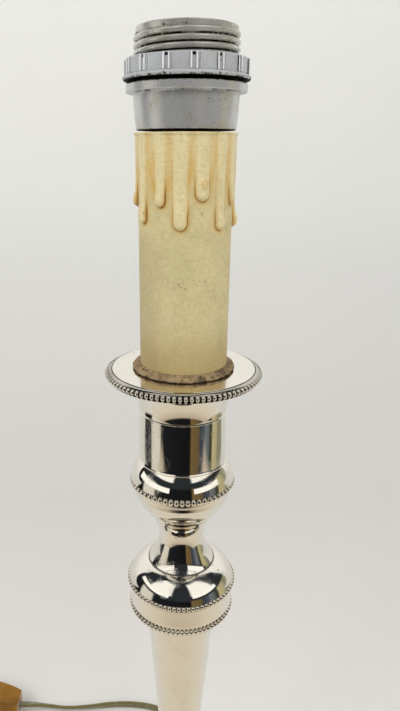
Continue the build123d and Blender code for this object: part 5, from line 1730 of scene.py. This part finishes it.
@dataclass
class Studio:
    """The pale sweep, the soft lights, the room that metal mirrors and the camera."""

    softboxes: tuple[Softbox, ...] = (
        Softbox("window_left", -68.0, 33.0, 1.3, 1.15, 0.62, 9.0, (1.0, 0.985, 0.95)),
        Softbox("window_right", 42.0, 33.0, 1.3, 1.35, 0.62, 9.0, (1.0, 0.975, 0.93)),
    )
    target: Vector = field(default_factory=lambda: Vector((0.0, 0.0, 0.28)))

    def camera(self) -> None:
        """The photograph's view: from the front, a little left and above, tilted down."""
        data = bpy.data.cameras.new("camera")
        data.sensor_fit = "VERTICAL"
        data.sensor_width = 36.0
        data.sensor_height = 36.0
        data.lens = 36.0 * 600.0 / 711.0
        data.shift_x = (200.0 - 163.6) / 711.0
        data.clip_start = 0.01
        camera = bpy.data.objects.new("camera", data)
        camera.location = (-0.0087, -0.2487, 0.400)
        camera.rotation_euler = (math.radians(90.0 - 18.8), 0.0, 0.0)
        bpy.context.scene.collection.objects.link(camera)
        bpy.context.scene.camera = camera

    def sweep(self) -> None:
        """A floor that curves up into a backdrop, extruded from its outline."""
        mesh = bmesh.new()
        spots = [(-2.2, 0.0), (-0.6, 0.0), (0.62, 0.0)]
        for n in range(1, 13):
            angle = math.pi / 2 * n / 12
            spots.append((0.62 + 0.5 * math.sin(angle), 0.5 - 0.5 * math.cos(angle)))
        spots.append((1.12, 2.6))
        line = [mesh.verts.new((-2.6, y, z)) for y, z in spots]
        edges = [mesh.edges.new(pair) for pair in zip(line, line[1:])]
        made = bmesh.ops.extrude_edge_only(mesh, edges=edges)["geom"]
        bmesh.ops.translate(mesh, verts=[v for v in made if isinstance(v, bmesh.types.BMVert)], vec=(5.2, 0, 0))
        bmesh.ops.recalc_face_normals(mesh, faces=mesh.faces)
        if sum(face.normal.z for face in mesh.faces) < 0:
            bmesh.ops.reverse_faces(mesh, faces=mesh.faces)
        for face in mesh.faces:
            face.smooth = True
        data = bpy.data.meshes.new("sweep")
        mesh.to_mesh(data)
        mesh.free()
        data.materials.append(self.paper())
        sweep = bpy.data.objects.new("sweep", data)
        bpy.context.scene.collection.objects.link(sweep)

    def paper(self) -> bpy.types.Material:
        """Pale paper, its tone painted darker on the floor and lighter up the sweep: painted light. Mirrors see only
        the sheet near the lamp, self-lit and warmer at the front, and the room beyond it.
        """
        material = bpy.data.materials.new("pale_paper")
        material.use_nodes = True
        r = Recipe(material.node_tree)
        place = r.place()
        x, y, z = r.add("ShaderNodeSeparateXYZ", {0: place}).outputs
        # Painted light: darker on the floor, lighter up the sweep, and varying along the depth.
        upward = (
            (0.0, (0.705, 0.695, 0.665)), (0.15, (0.73, 0.725, 0.70)), (0.30, (0.80, 0.80, 0.765)),
            (0.62, (0.885, 0.885, 0.85)), (0.80, (0.93, 0.93, 0.90)),
        )
        tone = r.ramp(z, upward)
        along = r.ramp(r.math("ADD", y, 0.2), (
            (0.28, (1.0, 1.0, 1.0)), (0.40, (0.955, 0.95, 0.935)), (0.58, (0.925, 0.925, 0.92)), (0.82, (1.0, 1.0, 1.0)),
        ))
        tone = r.blend(1.0, tone, along, "MULTIPLY")
        tone = r.blend(r.fade(r.noise(place, 3.0, 2.0), 0.3, 0.7, 0.0, 0.10), tone, (0.68, 0.67, 0.645))
        glossy = r.add("ShaderNodeLightPath").outputs["Is Glossy Ray"]
        # Painted reflection: mirrors see the front of the sheet in warmer, darker tones.
        front = r.ramp(r.math("SUBTRACT", 0.1, y), (
            (0.0, (1.0, 1.0, 1.0)), (0.12, (1.0, 0.95, 0.84)), (0.24, (0.98, 0.89, 0.75)), (0.36, (0.78, 0.68, 0.55)),
        ))
        tone = r.blend(glossy, tone, r.blend(1.0, tone, front, "MULTIPLY"))
        diffuse = r.add("ShaderNodeBsdfDiffuse", {"Color": tone})
        # Mirrors see the paper self-lit, without shadows.
        even = r.add("ShaderNodeEmission", {"Color": tone, "Strength": 0.96})
        seen = r.add("ShaderNodeMixShader", {0: glossy, 1: diffuse.outputs[0], 2: even.outputs[0]})
        near = r.fade(y, -0.36, -0.28, 1.0, 0.0)
        beside = r.math("MULTIPLY", r.fade(r.math("ABSOLUTE", x), 0.42, 0.50), r.fade(y, 0.30, 0.22))
        away = r.math("MULTIPLY", glossy, r.math("MAXIMUM", near, beside))
        clear = r.add("ShaderNodeBsdfTransparent")
        mixed = r.add("ShaderNodeMixShader", {0: away, 1: seen.outputs[0], 2: clear.outputs[0]})
        r.add("ShaderNodeOutputMaterial", {"Surface": mixed.outputs[0]})
        return material

    def room(self) -> None:
        """Even pale light, and for mirrors a dim room in front of the lamp with a pale back."""
        world = bpy.data.worlds.new("studio")
        world.use_nodes = True
        bpy.context.scene.world = world
        r = Recipe(world.node_tree)
        x, y, z = r.add("ShaderNodeSeparateXYZ", {0: r.add("ShaderNodeTexCoord").outputs["Generated"]}).outputs
        turn = r.math("ARCTAN2", x, r.math("MULTIPLY", y, -1.0))
        turn = r.math("ADD", r.math("DIVIDE", turn, math.tau), 0.5)
        rise = r.math("ARCSINE", z)
        pale: Colour = (0.80, 0.79, 0.75)
        bands = (
            (-180, pale), (-122, pale), (-117, (0.012, 0.013, 0.014)), (-92, (0.010, 0.011, 0.013)),
            (-88, (0.70, 0.68, 0.60)), (-63, (0.66, 0.63, 0.54)), (-58, (0.012, 0.014, 0.017)),
            (17, (0.008, 0.008, 0.009)), (21, (0.17, 0.115, 0.045)), (40, (0.13, 0.09, 0.04)),
            (44, (0.040, 0.052, 0.068)), (56, (0.075, 0.09, 0.11)), (59, (0.16, 0.18, 0.20)),
            (69, (0.12, 0.135, 0.14)), (73, (0.05, 0.055, 0.04)), (79, (0.06, 0.06, 0.045)),
            (82, (0.50, 0.44, 0.25)), (96, (0.42, 0.38, 0.22)), (101, (0.26, 0.25, 0.17)),
            (124, (0.22, 0.215, 0.15)), (130, pale), (180, pale),
        )
        low = r.ramp(turn, [(angle / 360 + 0.5, colour) for angle, colour in bands])
        from_front = r.math("MULTIPLY", r.math("ABSOLUTE", r.math("SUBTRACT", turn, 0.497)), 360.0)
        upper = r.blend(r.fade(from_front, 124.0, 116.0), pale, (0.024, 0.028, 0.033))
        above = r.blend(r.fade(rise, 0.22, 0.34), low, upper)
        window = r.math("MULTIPLY", r.fade(from_front, 19.0, 27.0), r.fade(from_front, 84.0, 74.0))
        window = r.math("MULTIPLY", window, r.math("MULTIPLY", r.fade(rise, 0.50, 0.56), r.fade(rise, 1.30, 1.16)))
        above = r.blend(window, above, (1.0, 0.99, 0.95))
        above = r.blend(r.fade(rise, 1.36, 1.44), above, (0.66, 0.64, 0.58))
        path = r.add("ShaderNodeLightPath").outputs
        mirrored = r.add("ShaderNodeBackground", {"Color": above, "Strength": 1.0})
        even = r.add("ShaderNodeBackground", {"Color": (0.97, 0.98, 1.0, 1.0), "Strength": 0.62})
        mixed = r.add("ShaderNodeMixShader", {0: path["Is Glossy Ray"], 1: even.outputs[0], 2: mirrored.outputs[0]})
        r.add("ShaderNodeOutputWorld", {"Surface": mixed.outputs[0]})

    def lights(self) -> None:
        """The two large softboxes, aimed at the middle of the stick."""
        for box in self.softboxes:
            data = bpy.data.lights.new(box.name, "AREA")
            data.shape = "RECTANGLE"
            data.size, data.size_y = box.width, box.height
            data.energy = box.power
            data.color = box.colour
            light = bpy.data.objects.new(box.name, data)
            turn, rise = math.radians(box.azimuth), math.radians(box.elevation)
            away = Vector((math.sin(turn) * math.cos(rise), -math.cos(turn) * math.cos(rise), math.sin(rise)))
            light.location = self.target + away * box.distance
            light.rotation_euler = away.to_track_quat("Z", "Y").to_euler()
            light.visible_glossy = False
            bpy.context.scene.collection.objects.link(light)

    def card(self, name: str, first: float, last: float) -> None:
        """A white card that only mirrors see, bent round the lamp at the height of the bowl.

        Args:
            name: The card's name.
            first: The azimuth of its left end.
            last: The azimuth of its right end.
        """
        mesh = bmesh.new()
        start = math.radians(first)
        ends = [mesh.verts.new((0.17 * math.sin(start), -0.17 * math.cos(start), z)) for z in (0.264, 0.305)]
        edge = mesh.edges.new(ends)
        bmesh.ops.spin(
            mesh, geom=[*ends, edge], cent=(0, 0, 0), axis=(0, 0, 1), dvec=(0, 0, 0),
            angle=math.radians(last - first), steps=24, use_merge=False, use_normal_flip=False, use_duplicate=False,
        )
        data = bpy.data.meshes.new(name)
        mesh.to_mesh(data)
        mesh.free()
        data.materials.append(self.card_glow())
        card = bpy.data.objects.new(name, data)
        bpy.context.scene.collection.objects.link(card)
        card.visible_camera = card.visible_diffuse = card.visible_transmission = card.visible_shadow = False

    def card_glow(self) -> bpy.types.Material:
        """Soft white that fades towards the card's long edges."""
        material = bpy.data.materials.new("card_glow")
        material.use_nodes = True
        r = Recipe(material.node_tree)
        z = r.add("ShaderNodeSeparateXYZ", {0: r.place()}).outputs[2]
        share = r.math("MULTIPLY", r.fade(z, 0.264, 0.269), r.fade(z, 0.305, 0.298))
        glow = r.add("ShaderNodeEmission", {"Color": (1.0, 0.99, 0.95, 1.0), "Strength": 1.05})
        clear = r.add("ShaderNodeBsdfTransparent")
        mixed = r.add("ShaderNodeMixShader", {0: share, 1: clear.outputs[0], 2: glow.outputs[0]})
        r.add("ShaderNodeOutputMaterial", {"Surface": mixed.outputs[0]})
        return material

    def build(self) -> None:
        """Set up the whole studio."""
        self.camera()
        self.sweep()
        self.room()
        self.lights()
        self.card("card_left", -100.0, -27.0)
        self.card("card_right", 22.0, 78.0)
        bpy.context.scene.view_settings.view_transform = "Standard"


def main() -> None:
    """Build the studio and the lamp in order."""
    logging.basicConfig(level=logging.INFO, format="%(name)s: %(message)s")
    Studio().build()
    palette = Palette()
    palette.dress_frame()
    bench = Bench(palette)
    CordSet().build(bench)
    for assembly in (Foot(), Stick(), DripPan(), CandleWasher(), CandleSleeve(), Lampholder(), ShadeRing()):
        assembly.build(bench)
        LOG.info("%s is done", type(assembly).__name__)
    LOG.info("%d pieces made", len(bench.made))


if __name__ == "__main__":
    main()
